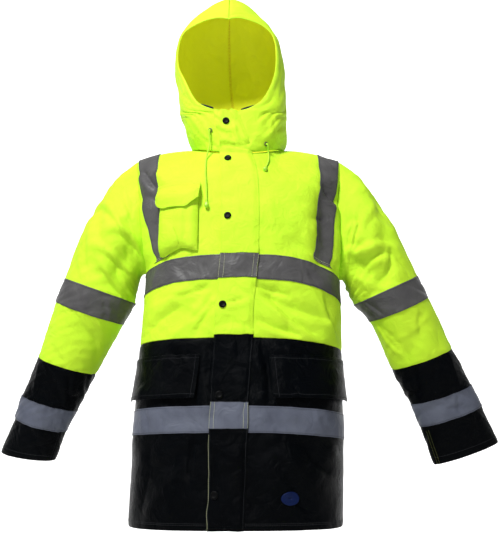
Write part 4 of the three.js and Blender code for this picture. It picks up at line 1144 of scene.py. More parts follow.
class Sleeve:
    """A sleeve's surface: a turn round the arm and a run down it give a point."""

    RIGHT = Table("run outX outZ inX inZ y depth", [
        (0, -226, -26, -202, -282, 0, 54), (60, -280, -77, -214, -284, 0, 63),
        (120, -334, -168, -222, -306, 3, 68), (184, -378, -289, -231, -342, 12, 66),
        (237, -397, -338, -254, -388, 20, 62), (357, -435, -455, -313, -493, 43, 54),
        (445, -468, -535, -354, -569, 61, 48), (495, -485, -583, -377, -613, 71, 44),
        (568, -518, -656, -401, -674, 88, 34),
    ])
    LEFT = Table("run outX outZ inX inZ y depth", [
        (0, 221, -26, 214, -294, 0, 54), (60, 271, -71, 227, -296, 0, 63),
        (120, 330, -166, 236, -318, 3, 68), (184, 385, -283, 249, -345, 12, 65),
        (237, 407, -328, 284, -381, 20, 60), (357, 460, -436, 331, -483, 43, 51),
        (445, 501, -513, 371, -556, 61, 42), (495, 524, -559, 392, -603, 71, 37),
        (568, 562, -636, 421, -684, 88, 26),
    ])
    TAPE_RUN, SEAM_RUN, CUFF_TAPE_RUN, CUFF_RUN = (184, 237), 357, (445, 495), 568
    BLEND = 150
    RADIUS = 62
    GIRTH = 2 * math.pi * RADIUS
    STREWN = ((20, 184, 34), (237, 357, 10), (365, 568, 20))  # from run, to run, how many
    BROAD = 7  # so many rows are broad folds, the rest are creases
    FINER = 0.8
    # runs over which the cloth goes from calm to creased, or back
    TOP_CALM, PIT_CALM, FOREARM_CALM, CUFF_CALM = (0, 50), (50, 150), ((225, 250), (345, 365)), (470, 560)
    PIT_TURN = 0.75
    # turn 1, run 1, turn 2, run 2, width, depth, bow, lip; turns in degrees from the outer line
    RIGHT_FOLDS = [
        (20, 92, 95, 120, 15, -8), (110, 55, 80, 110, 16, 7), (130, 62, 118, 150, 16, -9),
        (60, 150, 130, 172, 13, -6), (95, 268, 140, 285, 14, -5), (230, 90, 280, 130, 18, -7),
        (200, 290, 260, 330, 18, -5), (-8, 84, 16, 88, 22, -1.6), (8, 108, 112, 72, 8, -3.4, 4, 0.8),
        (84, 72, 99, 18, 9, 2.6, 3), (84, 102, 142, 20, 10, -4.2, 0, 0.9),
        (66, 141, 150, 113, 9, -3.4, 3, 0.9), (50, 45, 86, 40, 6, -1.8, 0, 0.6),
        (104, 9, 150, 12, 8, -2.4, 0, 0.3), (34, 124, 66, 166, 9, -2.0, 3, 0.6),
        (118, 128, 150, 168, 9, -2.6, -4, 0.7), (60, 92, 92, 140, 9, 2.0, 4),
        (20, 62, 44, 92, 10, -1.4, 3, 0.5), (96, 152, 132, 176, 7, -2.2, 0, 0.7),
        (24, 152, 60, 176, 8, -1.5, 0, 0.6), (80, 243, 109, 272, 8, -2.4, 0, 0.7),
        (100, 246, 137, 278, 8, -2.6, 3, 0.8), (60, 256, 86, 322, 10, -1.5, 5, 0.5),
        (112, 266, 150, 330, 12, -2.2, 5, 0.5), (36, 300, 90, 346, 14, -1.4, -5, 0.4),
        (30, 248, 46, 292, 9, -1.2, 0, 0.5), (80, 380, 120, 430, 12, -1.5, 4, 0.4),
        (40, 370, 60, 430, 12, 1.2), (112, 366, 140, 430, 10, -1.6, -3, 0.5),
        (250, 160, 300, 182, 12, -3, 3, 0.4), (210, 60, 240, 140, 12, 3, 4),
        (290, 60, 320, 120, 14, -2, 5, 0.4), (230, 250, 290, 300, 12, -2, 4, 0.5),
        (300, 270, 330, 340, 14, 2), (220, 380, 280, 430, 14, -2, 3),
        (80, 500, 130, 556, 12, -1.4, 3, 0.4), (250, 505, 300, 556, 12, -1.4, 3),
        (50, 502, 62, 552, 9, -1.1, 0, 0.5), (70, 192, 84, 226, 7, -1.1, 0, 0.7),
        (110, 194, 128, 230, 7, -1.4, 0, 0.7), (84, 452, 96, 488, 7, -1.2, 0, 0.7),
    ]
    LEFT_FOLDS = [
        (15, 90, 70, 125, 15, -7), (120, 55, 85, 115, 15, 7), (140, 70, 95, 165, 14, -9),
        (60, 140, 110, 172, 12, -5), (60, 262, 120, 335, 15, -6), (225, 95, 275, 125, 18, -7),
        (200, 285, 255, 325, 18, -5), (97, 29, 84, 64, 7, -3.2, 0, 0.9),
        (84, 64, 104, 44, 7, -2.2, 0, 0.7), (121, 16, 104, 94, 8, -3.4, 3, 0.9),
        (121, 66, 44, 136, 9, -3.6, 5, 0.9), (115, 117, 64, 142, 8, -3.0, -3, 0.8),
        (65, 141, 91, 163, 8, -2.4, 0, 0.7), (87, 66, 122, 57, 7, -2.4, 0, 0.8), (80, 7, 99, 11, 6, -2.2),
        (121, 12, 137, 26, 7, -1.6), (40, 96, 84, 84, 8, -2.0, -3, 0.6),
        (122, 122, 96, 176, 9, -2.6, 4, 0.7), (58, 100, 34, 128, 9, 1.8, 3),
        (60, 152, 40, 178, 8, -1.8, 0, 0.6), (30, 66, 24, 128, 12, -1.2, 4, 0.5),
        (140, 110, 126, 166, 9, 2.2), (155, 251, 130, 320, 8, -3.0, 4, 0.9),
        (124, 291, 45, 267, 9, 2.4, 4), (154, 250, 121, 338, 9, -2.4, -6, 0.8),
        (66, 254, 84, 306, 8, -1.9, 5, 0.6), (100, 296, 62, 344, 10, -1.8, 4, 0.6),
        (36, 296, 60, 346, 12, -1.3, 3, 0.4), (76, 372, 110, 432, 12, -1.6, 4, 0.4),
        (44, 368, 56, 430, 10, 1.2), (120, 366, 138, 430, 9, -1.6, 0, 0.5),
        (255, 160, 300, 180, 12, -3, 3, 0.4), (215, 60, 245, 140, 12, 3, 4),
        (295, 60, 320, 120, 14, -2, 5, 0.4), (232, 255, 290, 305, 12, -2, 4, 0.5),
        (300, 270, 330, 340, 14, 2), (220, 380, 280, 430, 14, -2, 3),
        (80, 505, 125, 556, 12, -1.4, 3, 0.4), (250, 505, 300, 556, 12, -1.4, 3),
        (52, 504, 60, 552, 9, -1.1, 0, 0.5), (140, 192, 132, 228, 7, -1.8, 0, 0.8),
        (96, 194, 104, 226, 7, -1.1, 0, 0.7), (70, 452, 82, 488, 7, -1.2, 0, 0.7),
    ]

    def __init__(self, side: int, runs: Array) -> None:
        """Works the sleeve out at the stated runs.

        Rings lie square to the arm's middle line; near the armhole they take up the armhole's own shape.

        Args:
            side: RIGHT or LEFT.
            runs: distances down the sleeve.
        """
        self.side = side
        self.runs = runs
        self.armhole = Armhole(side)
        turns = self.armhole.turns
        start = self.armhole.p + self.armhole.away * (SEAM + 0.1)
        first = self.ring(np.zeros(1))[0]
        points = self.ring(runs) + fade_out(runs / self.BLEND)[:, None, None] * (start - first)
        outward = points - points.mean(1, keepdims=True)
        spots = Spots.of(points, outward, True)
        self.spots = Spots.of(spots.out(self.relief(turns, runs)), outward, True)
        self.armhole.share(self.spots.n[0])
        near = fade_out(runs / ARMHOLE_BLEND)[:, None, None]
        self.spots.n = unit(mix(self.spots.n, self.armhole.n[None], near))

    def folds(self) -> list[Fold]:
        """The placed folds, from degrees to millimetres round the arm, and the strewn ones.

        Returns:
            The folds, broad ones first.
        """
        scale = self.RADIUS * np.pi / 180
        rows = self.RIGHT_FOLDS if self.side == RIGHT else self.LEFT_FOLDS
        folds = [Fold(f[0] * scale, f[1], f[2] * scale, *f[3:]) for f in rows[:self.BROAD]]
        folds += [Crease(f[0] * scale, f[1], f[2] * scale, f[3], f[4] * self.FINER, f[5] * self.FINER, *f[6:])
                  for f in rows[self.BROAD:]]
        tilt = 0.5 if self.side == RIGHT else -0.5
        for low, high, count in self.STREWN:
            folds += scatter(90 + low + self.side, (0, self.GIRTH, low, high), count, tilt)
        return folds

    def relief(self, turns: Array, runs: Array) -> Array:
        """Folds, waves and puckers, calmer at both ends, under the arm and between tape and colour seam.

        Args:
            turns: round the arm.
            runs: down it.

        Returns:
            How far each spot moves out.
        """
        side, folds = self.side, self.folds()
        around, down = np.meshgrid(turns * self.RADIUS, runs)
        ring_x, ring_y = np.cos(turns) * self.RADIUS, np.sin(turns) * self.RADIUS
        waves = undulation(ring_x[None] + 0 * down, ring_y[None] + down * 0.9, 31 + side, 80, 0.9)
        waves += undulation(ring_x[None] - down * 0.4, ring_y[None] + down, 41 + side, 30, 0.75)
        seams = (*self.TAPE_RUN, self.SEAM_RUN, *self.CUFF_TAPE_RUN, self.CUFF_RUN - 8)
        gaps = [down - run for run in seams]
        waves += pucker(ring_x[None] + ring_y[None] * 0.7 + 0 * down, down, gaps, 71 + side)
        calm = step(*self.TOP_CALM, down) * (0.35 + 0.65 * (1 - step(*self.CUFF_CALM, down)))
        pit = np.exp(-(((turns[None] - np.pi) / self.PIT_TURN) ** 2)) * (1 - step(*self.PIT_CALM, down))
        start, end = self.FOREARM_CALM
        calm = calm * (1 - 0.8 * pit) * (1 - 0.45 * step(*start, down) * (1 - step(*end, down)))
        creased = sum(relief_of(folds, around + shift, down) for shift in (-self.GIRTH, 0, self.GIRTH))
        return (creased + waves) * calm

    def ring(self, runs: Array) -> Array:
        """Rings at runs down the sleeve: an ellipse from the outer line to the under-arm line.

        Args:
            runs: distances down the sleeve.

        Returns:
            Points, runs by turns by 3.
        """
        table = self.RIGHT if self.side == RIGHT else self.LEFT

        def middle(run: Array) -> Array:
            """Middle of the arm at a run."""
            at = {name: table.at(name, run) for name in ("outX", "inX", "outZ", "inZ", "y")}
            return np.stack([(at["outX"] + at["inX"]) / 2, at["y"], (at["outZ"] + at["inZ"]) / 2], -1)

        axis = unit(middle(runs + 2) - middle(runs - 2))
        zero = np.zeros_like(runs)
        reach = np.stack([(table.at("outX", runs) - table.at("inX", runs)) / 2, zero,
                          (table.at("outZ", runs) - table.at("inZ", runs)) / 2], -1)
        forward = unit(np.cross(axis, reach))
        forward *= -np.sign(forward[:, 1:2])
        turns = self.armhole.turns[None, :, None]
        depth = table.at("depth", runs)[:, None, None]
        points = middle(runs)[:, None] + reach[:, None] * np.cos(turns)
        return points + forward[:, None] * depth * np.sin(turns)

    def between(self, low: float, high: float) -> Spots:
        """The spots of the runs from low to high."""
        rows = np.flatnonzero((self.runs >= low - 1e-6) & (self.runs <= high + 1e-6))
        return self.spots.part(slice(rows[0], rows[-1] + 1))


class HoodShape:
    """The hood's surface: a level and an angle from straight ahead give a point on either side."""

    LEVELS = Table("t centre half mid fore aft right left zFront zSide zBack", [
        (0, -7, 98, -17, 80, 79, 1.5, 1.5, -33, 0, 11), (0.1, -8, 110, -12, 87, 88, 1.5, 1.5, 8, 28, 40),
        (0.18, -11, 115, -6, 93, 96, 2, 2, 52, 60, 72), (0.22, -13, 117, -4, 95, 100, 22, 14, 63, 72, 86),
        (0.28, -15, 119, -1, 97, 104, 37, 28, 84, 90, 102),
        (0.4, -19, 121, 6, 98, 110, 53, 45, 146, 142, 150),
        (0.55, -25, 124, 10, 98, 112, 66, 54, 196, 200, 208),
        (0.7, -28, 118, 12, 94, 104, 63, 58, 250, 258, 268),
        (0.82, -29, 99, 14, 90, 84, 50, 52, 256, 306, 318),
        (0.91, -28, 64, 18, 88, 58, 38, 38, 272, 348, 356),
        (0.96, -26, 34, 20, 88, 34, 26, 26, 282, 375, 378),
        (1, -25, 0.6, 22, 90, 12, 12, 12, 287, 391, 392),
    ])
    NECK_BLEND = 0.16
    OFF_COLLAR = CLOTH + SEAM + 2.6
    LIFT = 2.4
    NECK_MIDDLE_Y = -17
    CENTRE = np.array([-22, 10, 120])

    def neckline(self, side: Array, angle: Array) -> Array:
        """The neckline, on the torso's top edge.

        Args:
            side: RIGHT or LEFT.
            angle: from straight ahead.

        Returns:
            Points.
        """
        x = NECK_CENTRE + side * NECK_HALF * np.minimum(0.9999, np.sin(angle))
        front, back = (TORSO.at_x(face, x, TORSO.panel_top(face, x)).p for face in (FRONT, BACK))
        return np.where((angle <= np.pi / 2)[..., None], front, back)

    @staticmethod
    def flat_out(p: Array) -> Array:
        """Level direction away from the middle of the neck."""
        level = np.stack([p[..., 0] - NECK_CENTRE, p[..., 1] - HoodShape.NECK_MIDDLE_Y, 0 * p[..., 0]], -1)
        return unit(level)

    def base(self, side: Array, t: Array, angle: Array) -> Array:
        """A squared ellipse at each level, whose height goes from front to side to back.

        Args:
            side: RIGHT or LEFT.
            t: level, from 0 at the foot to 1 at the top.
            angle: from straight ahead.

        Returns:
            Points.
        """
        at = {name: self.LEVELS.at(name, t) for name in self.LEVELS.columns if name != "t"}
        forward, behind = np.maximum(0, np.cos(angle)), np.maximum(0, -np.cos(angle))
        y = at["mid"] + np.where(angle < np.pi / 2, -at["fore"], at["aft"]) * np.abs(ahead(angle))
        z = at["zSide"] + (at["zFront"] - at["zSide"]) * forward**1.6
        z = z + (at["zBack"] - at["zSide"]) * behind**1.4
        return np.stack(np.broadcast_arrays(at["centre"] + side * at["half"] * across(angle), y, z), -1)

    def point(self, side: Array, t: Array, angle: Array) -> Array:
        """The base, taking up the neckline's shape towards its foot.

        Args:
            side: RIGHT or LEFT.
            t: level.
            angle: from straight ahead.

        Returns:
            Points.
        """
        side, t, angle = np.broadcast_arrays(np.asarray(side, float), t, angle)
        foot = self.neckline(side, angle)
        foot = foot + self.flat_out(foot) * self.OFF_COLLAR + np.array([0, 0, self.LIFT])
        keep = fade_out(t / self.NECK_BLEND)[..., None]
        return self.base(side, t, angle) + (foot - self.base(side, 0 * t, angle)) * keep

    def throat(self, x: Array, z: Array) -> Spots:
        """Spots on the hood's throat.

        Args:
            x: X of the spots.
            z: their heights.

        Returns:
            The spots.
        """
        steps = np.linspace(0, 0.28, 400)
        t = np.interp(z, self.point(1, steps, np.full(400, 0.03))[:, 2], steps)
        centre, half = self.LEVELS.at("centre", t), self.LEVELS.at("half", t)
        side = np.where(x < centre, -1.0, 1.0)
        angle = np.abs(angle_of((x - centre) / half))
        p = self.point(side, t, angle)
        du = self.point(side, t, angle + 0.02) - self.point(side, t, np.maximum(0, angle - 0.02))
        dv = self.point(side, t + 0.01, angle) - self.point(side, np.maximum(0, t - 0.01), angle)
        n = unit(np.cross(du * side[..., None], dv))
        p[..., 2] = z
        return Spots(p, n)


HOOD = HoodShape()


# Folds of the flap over the throat, in X and Z
THROAT_FOLDS = [
    Crease(-56, 26, -14, 8, 5, 2.3, 3, 0.35), Fold(-46, 8, -8, -8, 6, -0.7, -2),
    Crease(-38, -10, 12, -24, 5, 2.2, 2, 0.35), Crease(-12, 22, -2, -18, 5, 2.0, 2, 0.35),
    Crease(-54, 50, -38, 36, 4.5, 2.0, 0, 0.35), Crease(-20, 54, -8, 36, 4.5, 2.0, 0, 0.35),
    Crease(-44, -32, 26, -40, 5, 2.0, -2, 0.35), Crease(-44, -46, -20, -84, 8, 0.9),
    Crease(8, -44, 30, -78, 8, 0.9), Crease(-50, 8, -42, -26, 5, 1.8, 2, 0.35),
    Crease(-40, 58, -36, 44, 4.5, 1.6), Crease(6, -4, 24, -22, 5, 1.6, 0, 0.35),
    Crease(-32, 12, -20, -4, 4.5, 1.6), Crease(-52, 36, -44, 24, 4.5, 1.5),
    Crease(-16, 20, -8, 8, 4.5, 1.5), Crease(-28, -22, -16, -34, 4.5, 1.5),
]


def front_spots(x: Array, z: Array) -> Spots:
    """Spots of the jacket's front: the torso, and the hood's throat above it.

    Args:
        x: X of the spots.
        z: their heights.

    Returns:
        The spots.
    """
    torso, throat = TORSO.at_x(FRONT, x, z), HOOD.throat(x, z)
    share = step(-44, -8, z)[..., None]
    folded = relief_of(THROAT_FOLDS, x, z)[..., None]
    n = unit(mix(torso.n, throat.n, share))
    return Spots(mix(torso.p, throat.p, share) + n * folded, n)


@dataclass
class Body:
    """Fronts and back, each in a lime upper and a black lower part, with the bands of tape on them."""

    sewing: Stitching
    sleeves: dict[int, Sleeve]
    seam_dip: float = 1.1

    def heights(self, face: int, s: Array, x: Array) -> Array:
        """Row heights of an upper part: s is -1 at the colour seam, 0 at the armhole's foot and 1 on top."""
        low = mix(TORSO.colour_seam(x) + SEAM / 2, TORSO.pit(x), s + 1)
        return np.where(s < 0, low, mix(TORSO.pit(x), TORSO.panel_top(face, x), s))

    def grid(self, face: int, side: int, s: Array, u: Array, upper: bool) -> Spots:
        """One side of a panel, from the middle (u 0) to the side seam or the armhole (u 1).

        Args:
            face: FRONT or BACK.
            side: RIGHT or LEFT.
            s: row shares, from -1 to 1 on an upper part and 0 to 1 on a lower one.
            u: column shares.
            upper: whether this is the lime part.

        Returns:
            The spots.
        """
        height = (lambda x: self.heights(face, s[:, None], x)) if upper else (
            lambda x: mix(HEM_Z, TORSO.colour_seam(x) - SEAM / 2, s[:, None]))
        z0 = np.broadcast_to(height(np.zeros((1, 1))), (len(s), 1))
        rise = np.clip(s, 0, 1) if upper else 0 * s
        edge = side * angle_of(TORSO.ARMHOLE.at("reach", rise))[:, None]
        angle = TORSO.turned(face, mix(TORSO.middle(face, side, z0), edge, u[None]))
        spots = TORSO.row_spots(face, angle, height)
        if upper:
            gone = spots.lengths()[0]
            near = fade_out((gone[:, -1:] - gone) / ARMHOLE_BLEND) * (s > 0)[:, None]
            shared = self.sleeves[side].armhole.normal_at(face, rise)[:, None]
            spots.n = unit(mix(spots.n, shared, near[..., None]))
        return spots

    def panel(self, name: str, spots: Spots, finish: Finish, slot: str) -> None:
        """A panel's cloth, which dips a little along its seams."""
        sewn_cloth(name, spots, finish, slot, self.seam_dip)

    def band(self, name: str, face: int, sides: tuple[int, ...], top: Callable[[Array], Array],
             finish: Finish) -> None:
        """A band of tape round part of the body, sewn on near both edges.

        Args:
            name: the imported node's name.
            face: FRONT or BACK.
            sides: one side of the front, or both sides of the back.
            top: height of its top edge at each X.
            finish: its finish.
        """
        v, u = shares(10, extra=TAPE_STITCHES), shares(70)
        parts = []
        for side in sides:
            z0 = np.full((1, 1), float(top(np.zeros(1))[0]))
            angle = mix(TORSO.middle(face, side, z0), side * np.pi / 2, u[None] + 0 * v[:, None])
            height = lambda x: top(x) - TAPE_WIDTH * (1 - v[:, None])
            parts.append(TORSO.row_spots(face, TORSO.turned(face, angle), height))
        spots = join_sides(parts)
        tape_piece(name, spots, finish)
        self.sewing.along(Thread.TAPE, spots, TAPE_TOP, indices(v, TAPE_STITCHES))

    def build(self) -> None:
        """Makes every panel and band."""
        s = rising(shares(48, -1, 0)[:-1], (1 - np.cos(np.pi * shares(66))) / 2, [0.9995])
        low = shares(84, extra=HEM_STITCHES)
        u = shares(74)
        for name, side in SIDES:
            upper = self.grid(FRONT, side, s, u, True)
            lower = self.grid(FRONT, side, low, u, False)
            self.panel(f"front_{name}_upper", upper, LIME, "lime_cloth")
            self.panel(f"front_{name}_lower", lower, BLACK, "black_cloth")
            self.band(f"chest_tape_front_{name}", FRONT, (side,), TORSO.chest_tape_top, TAPE)
            self.band(f"hem_tape_front_{name}", FRONT, (side,), TORSO.hem_tape_top, TAPE_LOWER_PAINTED_LIGHTER)
            self.hem(lower, low)
        upper = join_sides([self.grid(BACK, side, s, u, True) for side in (RIGHT, LEFT)])
        lower = join_sides([self.grid(BACK, side, low, u, False) for side in (RIGHT, LEFT)])
        self.panel("back_upper", upper, LIME, "lime_cloth")
        self.panel("back_lower", lower, BLACK, "black_cloth")
        self.hem(lower, low)
        self.band("chest_tape_back", BACK, (RIGHT, LEFT), TORSO.chest_tape_top, TAPE)
        self.band("hem_tape_back", BACK, (RIGHT, LEFT), TORSO.hem_tape_top, TAPE_LOWER_PAINTED_LIGHTER)

    def hem(self, lower: Spots, rows: Array) -> None:
        """A double row of stitches over the hem."""
        self.sewing.along(Thread.BLACK, lower, SKIN, indices(rows, HEM_STITCHES))


def indices(steps: Array, wanted: Sequence[float]) -> list[int]:
    """Where wanted values stand among rising steps that hold them."""
    return [int(np.searchsorted(steps, value - 1e-4)) for value in wanted]


def join_sides(parts: list[Spots]) -> Spots:
    """Two sides of a piece joined along the middle, or the one side as it is.

    Args:
        parts: the right side and the left side, or one of them.

    Returns:
        The spots of the whole.
    """
    if len(parts) == 1:
        return parts[0]
    right, left = parts
    return Spots(np.concatenate([right.p[:, ::-1], left.p[:, 1:]], 1),
                 np.concatenate([right.n[:, ::-1], left.n[:, 1:]], 1))


@dataclass
class Braces:
    """A tape over each shoulder, from the chest tape up the front and down the back."""

    sewing: Stitching
    STEPS, INNER_END = 240, 0.15  # of the walk from the armhole towards the middle

    def half(self, face: int, side: int, rises: Array, v: Array) -> Spots:
        """The part of a brace on the front or the back, placed by distance from the armhole edge.

        Args:
            face: FRONT or BACK.
            side: RIGHT or LEFT.
            rises: shares of the way up.
            v: shares across the tape, from its outer to its inner edge.

        Returns:
            The spots.
        """
        rise = rises[:, None]
        edge = side * angle_of(TORSO.ARMHOLE.at("reach", rise))
        walk = TORSO.turned(face, mix(edge, side * self.INNER_END, np.linspace(0, 1, self.STEPS)[None]))
        height = lambda x: mix(TORSO.pit(x), TORSO.panel_top(face, x), rise)
        points = TORSO.base(face, walk, TORSO.level(face, walk, height))
        gone = np.cumsum(np.linalg.norm(np.diff(points, axis=1, prepend=points[:, :1]), axis=-1), 1)
        wanted = TORSO.BRACE.at("strip", rise) + v[None] * TAPE_WIDTH
        angle = np.stack([np.interp(w, g, a) for w, g, a in zip(wanted, gone, walk)])
        return TORSO.row_spots(face, angle, height)

    def build(self) -> None:
        """Makes both braces."""
        v = shares(12, extra=TAPE_STITCHES)
        rises = np.unique(np.append((1 - np.cos(np.pi * np.linspace(0, 1, 76))) / 2, (0.002, 0.006)))
        for name, side in SIDES:
            front, back = (self.half(face, side, rises, v) for face in (FRONT, BACK))
            spots = Spots(np.concatenate([front.p, back.p[-2::-1]]),
                          np.concatenate([front.n, back.n[-2::-1]]))
            tape_piece(f"brace_tape_{name}", spots, TAPE)
            self.sewing.along(Thread.TAPE, spots, TAPE_TOP, cols=indices(v, TAPE_STITCHES))
            self.sewing.along(Thread.PALE, spots, TAPE_TOP, (5, 9, -6, -10))


@dataclass
class Sleeves:
    """Both sleeves, each a lime upper and a black lower tube with two bands of tape."""

    sewing: Stitching
    seam_dip: float = 1.0
    SEAM_COLS = (60, 63)

    def make(self) -> dict[int, Sleeve]:
        """Works both sleeves out on rows that crowd together at every seam and edge.

        Returns:
            The sleeve of each side.
        """
        cuts = [0, *Sleeve.TAPE_RUN, Sleeve.SEAM_RUN - SEAM / 2, Sleeve.SEAM_RUN + SEAM / 2,
                *Sleeve.CUFF_TAPE_RUN, Sleeve.CUFF_RUN]
        crowd = np.array([0, 0.5, 1.2, 2.6])
        near = np.concatenate([np.concatenate([cut - crowd, cut + crowd]) for cut in cuts])
        even = np.arange(5, Sleeve.CUFF_RUN, 3.5)
        runs = rising(even, near, digits=3)
        runs = runs[(runs >= 0) & (runs <= Sleeve.CUFF_RUN)]
        inside = (runs > Sleeve.SEAM_RUN - SEAM / 2 + 1e-6) & (runs < Sleeve.SEAM_RUN + SEAM / 2 - 1e-6)
        return {side: Sleeve(side, runs[~inside]) for side in (RIGHT, LEFT)}

    def build(self, sleeves: dict[int, Sleeve]) -> None:
        """Makes the cloth, the tapes and the stitches of both sleeves.

        Args:
            sleeves: the sleeve of each side.
        """
        for name, side in SIDES:
            sleeve = sleeves[side]
            parts = (("upper", 0, Sleeve.SEAM_RUN - SEAM / 2, LIME, "lime_cloth"),
                     ("lower", Sleeve.SEAM_RUN + SEAM / 2, Sleeve.CUFF_RUN, BLACK, "black_cloth"))
            for part, low, high, finish, slot in parts:
                sewn_cloth(f"sleeve_{name}_{part}", sleeve.between(low, high), finish, slot, self.seam_dip)
            lower = sleeve.between(Sleeve.CUFF_TAPE_RUN[1] + 4, Sleeve.CUFF_RUN)
            thread = Thread.OLIVE if side == LEFT else Thread.BLACK
            self.sewing.along(thread, lower, SKIN, cols=self.SEAM_COLS)
            hem = sleeve.between(Sleeve.CUFF_RUN - 14, Sleeve.CUFF_RUN)
            self.sewing.along(Thread.BLACK, hem, SKIN, (0,))
            for tape, run, finish in (("sleeve", Sleeve.TAPE_RUN, TAPE),
                                      ("cuff", Sleeve.CUFF_TAPE_RUN, TAPE_LOWER_PAINTED_LIGHTER)):
                spots = sleeve.between(*run)
                tape_piece(f"{tape}_tape_{name}", spots, finish)
                self.sewing.along(Thread.TAPE, spots, TAPE_TOP, (3, -4))


@dataclass
class CollarAndHood:
    """The stand collar and the hood of two halves round it."""

    sewing: Stitching
    front_height: float = 82
    side_height: float = 62
    back_height: float = 60
    lean: float = 7
    inset: float = 1.2
    ROUND, UP = 300, 400
    HOOD_FOLDS = [
        # share round the half (0 front edge, 1 back seam) times ROUND, level times UP, then as any fold
        (22, 50, 44, 82, 5, -1.6, 0, 0.8), (34, 44, 60, 80, 5, -1.8, 2, 0.8),
        (46, 38, 76, 74, 5, -1.8, -2, 0.8), (60, 34, 92, 66, 5, -1.6, 2, 0.8),
        (80, 36, 104, 60, 6, -1.2, 0, 0.7), (16, 34, 40, 46, 6, -1.0, 0, 0.6),
        (24, 14, 60, 20, 7, -0.7, 2, 0.5), (70, 16, 130, 12, 8, -0.8, 2, 0.5),
        (40, 62, 90, 120, 9, -1.4, 4, 0.6), (120, 60, 200, 110, 18, -0.7, 5),
        (160, 200, 230, 130, 22, -1.8, 8), (220, 300, 280, 230, 22, -1.6, 6),
        (60, 180, 70, 280, 14, 1.0, 4), (236, 322, 293, 292, 10, 1.5, 4, 0.6),
        (30, 110, 40, 190, 10, -1.0, 3, 0.5),
    ]

    def collar(self) -> None:
        """The collar: the neckline's points, raised and leaning in."""
        angles = mix(2 * np.pi / 180, np.pi, np.linspace(0, 1, 60))
        rise = shares(14)[:, None]
        parts = []
        for side in (RIGHT, LEFT):
            foot = HOOD.neckline(np.full(60, float(side)), angles)[None]
            weight = np.abs(np.cos(angles)) ** 1.5
            middle = np.where(angles < np.pi / 2, self.front_height, self.back_height)
            full = mix(self.side_height, middle, weight)[None]
            up = full * rise
            p = foot + np.stack([0 * up, 0 * up, ON_PANEL + 0.7 + up], -1)
            p = p - HOOD.flat_out(p) * (self.inset + self.lean * rise**1.5)[..., None]
            parts.append(Spots(p, HOOD.flat_out(p)))
        both = join_sides(parts)
        spots = Spots.of(both.p, both.n)
        cloth_piece("collar", spots, -SKIN, SKIN, LIME, "lime_cloth")

    def half(self, side: int) -> Spots:
        """One half of the hood, from its front edge to the centre seam.

        Args:
            side: RIGHT or LEFT.

        Returns:
            The spots, with the front edge's hem and all folds.
        """
        ends = np.array([0.001, 0.003, 0.006])
        t = rising(np.linspace(0, 0.17, 22), np.linspace(0.17, 0.24, 24), np.linspace(0.24, 1, 74),
                   ends, 1 - ends, digits=6)
        share = shares(64) ** 1.2
        edge = HOOD.LEVELS.at("right" if side == RIGHT else "left", t) * np.pi / 180
        angle = mix(edge[:, None], np.pi, share[None] ** 0.92)
        p = HOOD.point(float(side), t[:, None] + 0 * angle, angle)
        outward = p - HOOD.CENTRE
        spots = Spots.of(p, outward)
        cloth_u, cloth_v = share[None] * self.ROUND, t[:, None] * self.UP
        folds = [Crease(a + 5 * side, b + 7 * side, c + 2 * side, d - 5 * side, width, depth * 0.7, *rest)
                 for a, b, c, d, width, depth, *rest in self.HOOD_FOLDS]
        folds += scatter(8 + side, (4, 120, 8, 92), 34, 1.1, (3.6, 6.0))
        folds += scatter(12 + side, (10, 290, 90, 380), 18, 1.2)
        gather = relief_of(folds, cloth_u + 0 * cloth_v, cloth_v + 0 * cloth_u)
        waves = undulation(cloth_u, cloth_v, 51 + side, 90, 1.0)
        waves = waves + undulation(cloth_u, cloth_v, 61 + side, 34, 0.35)
        calm = step(0, 0.05, share)[None] * step(0, 0.05, 1 - share)[None] * step(0, 0.03, t)[:, None]
        calm = calm * step(0, 0.06, 1 - t)[:, None]
        hem = np.exp(-(((share[None] - 0.02) / 0.018) ** 2)) - np.exp(-(((share[None] - 0.06) / 0.014) ** 2))
        hem = hem * step(0.2, 0.26, t)[:, None] * 0.9
        spots = Spots.of(spots.out((gather + waves) * calm + hem), outward)
        spots.n[:, -1, 0] = 0
        spots.n[-1, :, 0] = 0
        spots.n = unit(spots.n)
        return spots

    def build(self) -> None:
        """Makes the collar and both halves of the hood, with a line of thread inside the centre seam."""
        self.collar()
        for name, side in SIDES:
            spots = self.half(side)
            sewn_cloth(f"hood_{name}", spots, LIME, "lime_cloth", 0.9, 4.0)
            rows = spots.p.shape[0]
            keep = slice(int(rows * 0.12), int(rows * 0.97))
            for col in (-2, -4):
                self.sewing.add(Thread.ORANGE, spots.out(-SKIN - 0.3)[keep, col], -spots.n[keep, col])
            self.sewing.along(Thread.LIME, spots, SKIN, cols=(-6,), over=keep)
            self.sewing.along(Thread.LIME, spots, SKIN, cols=(9,), over=slice(int(rows * 0.42), rows - 1))


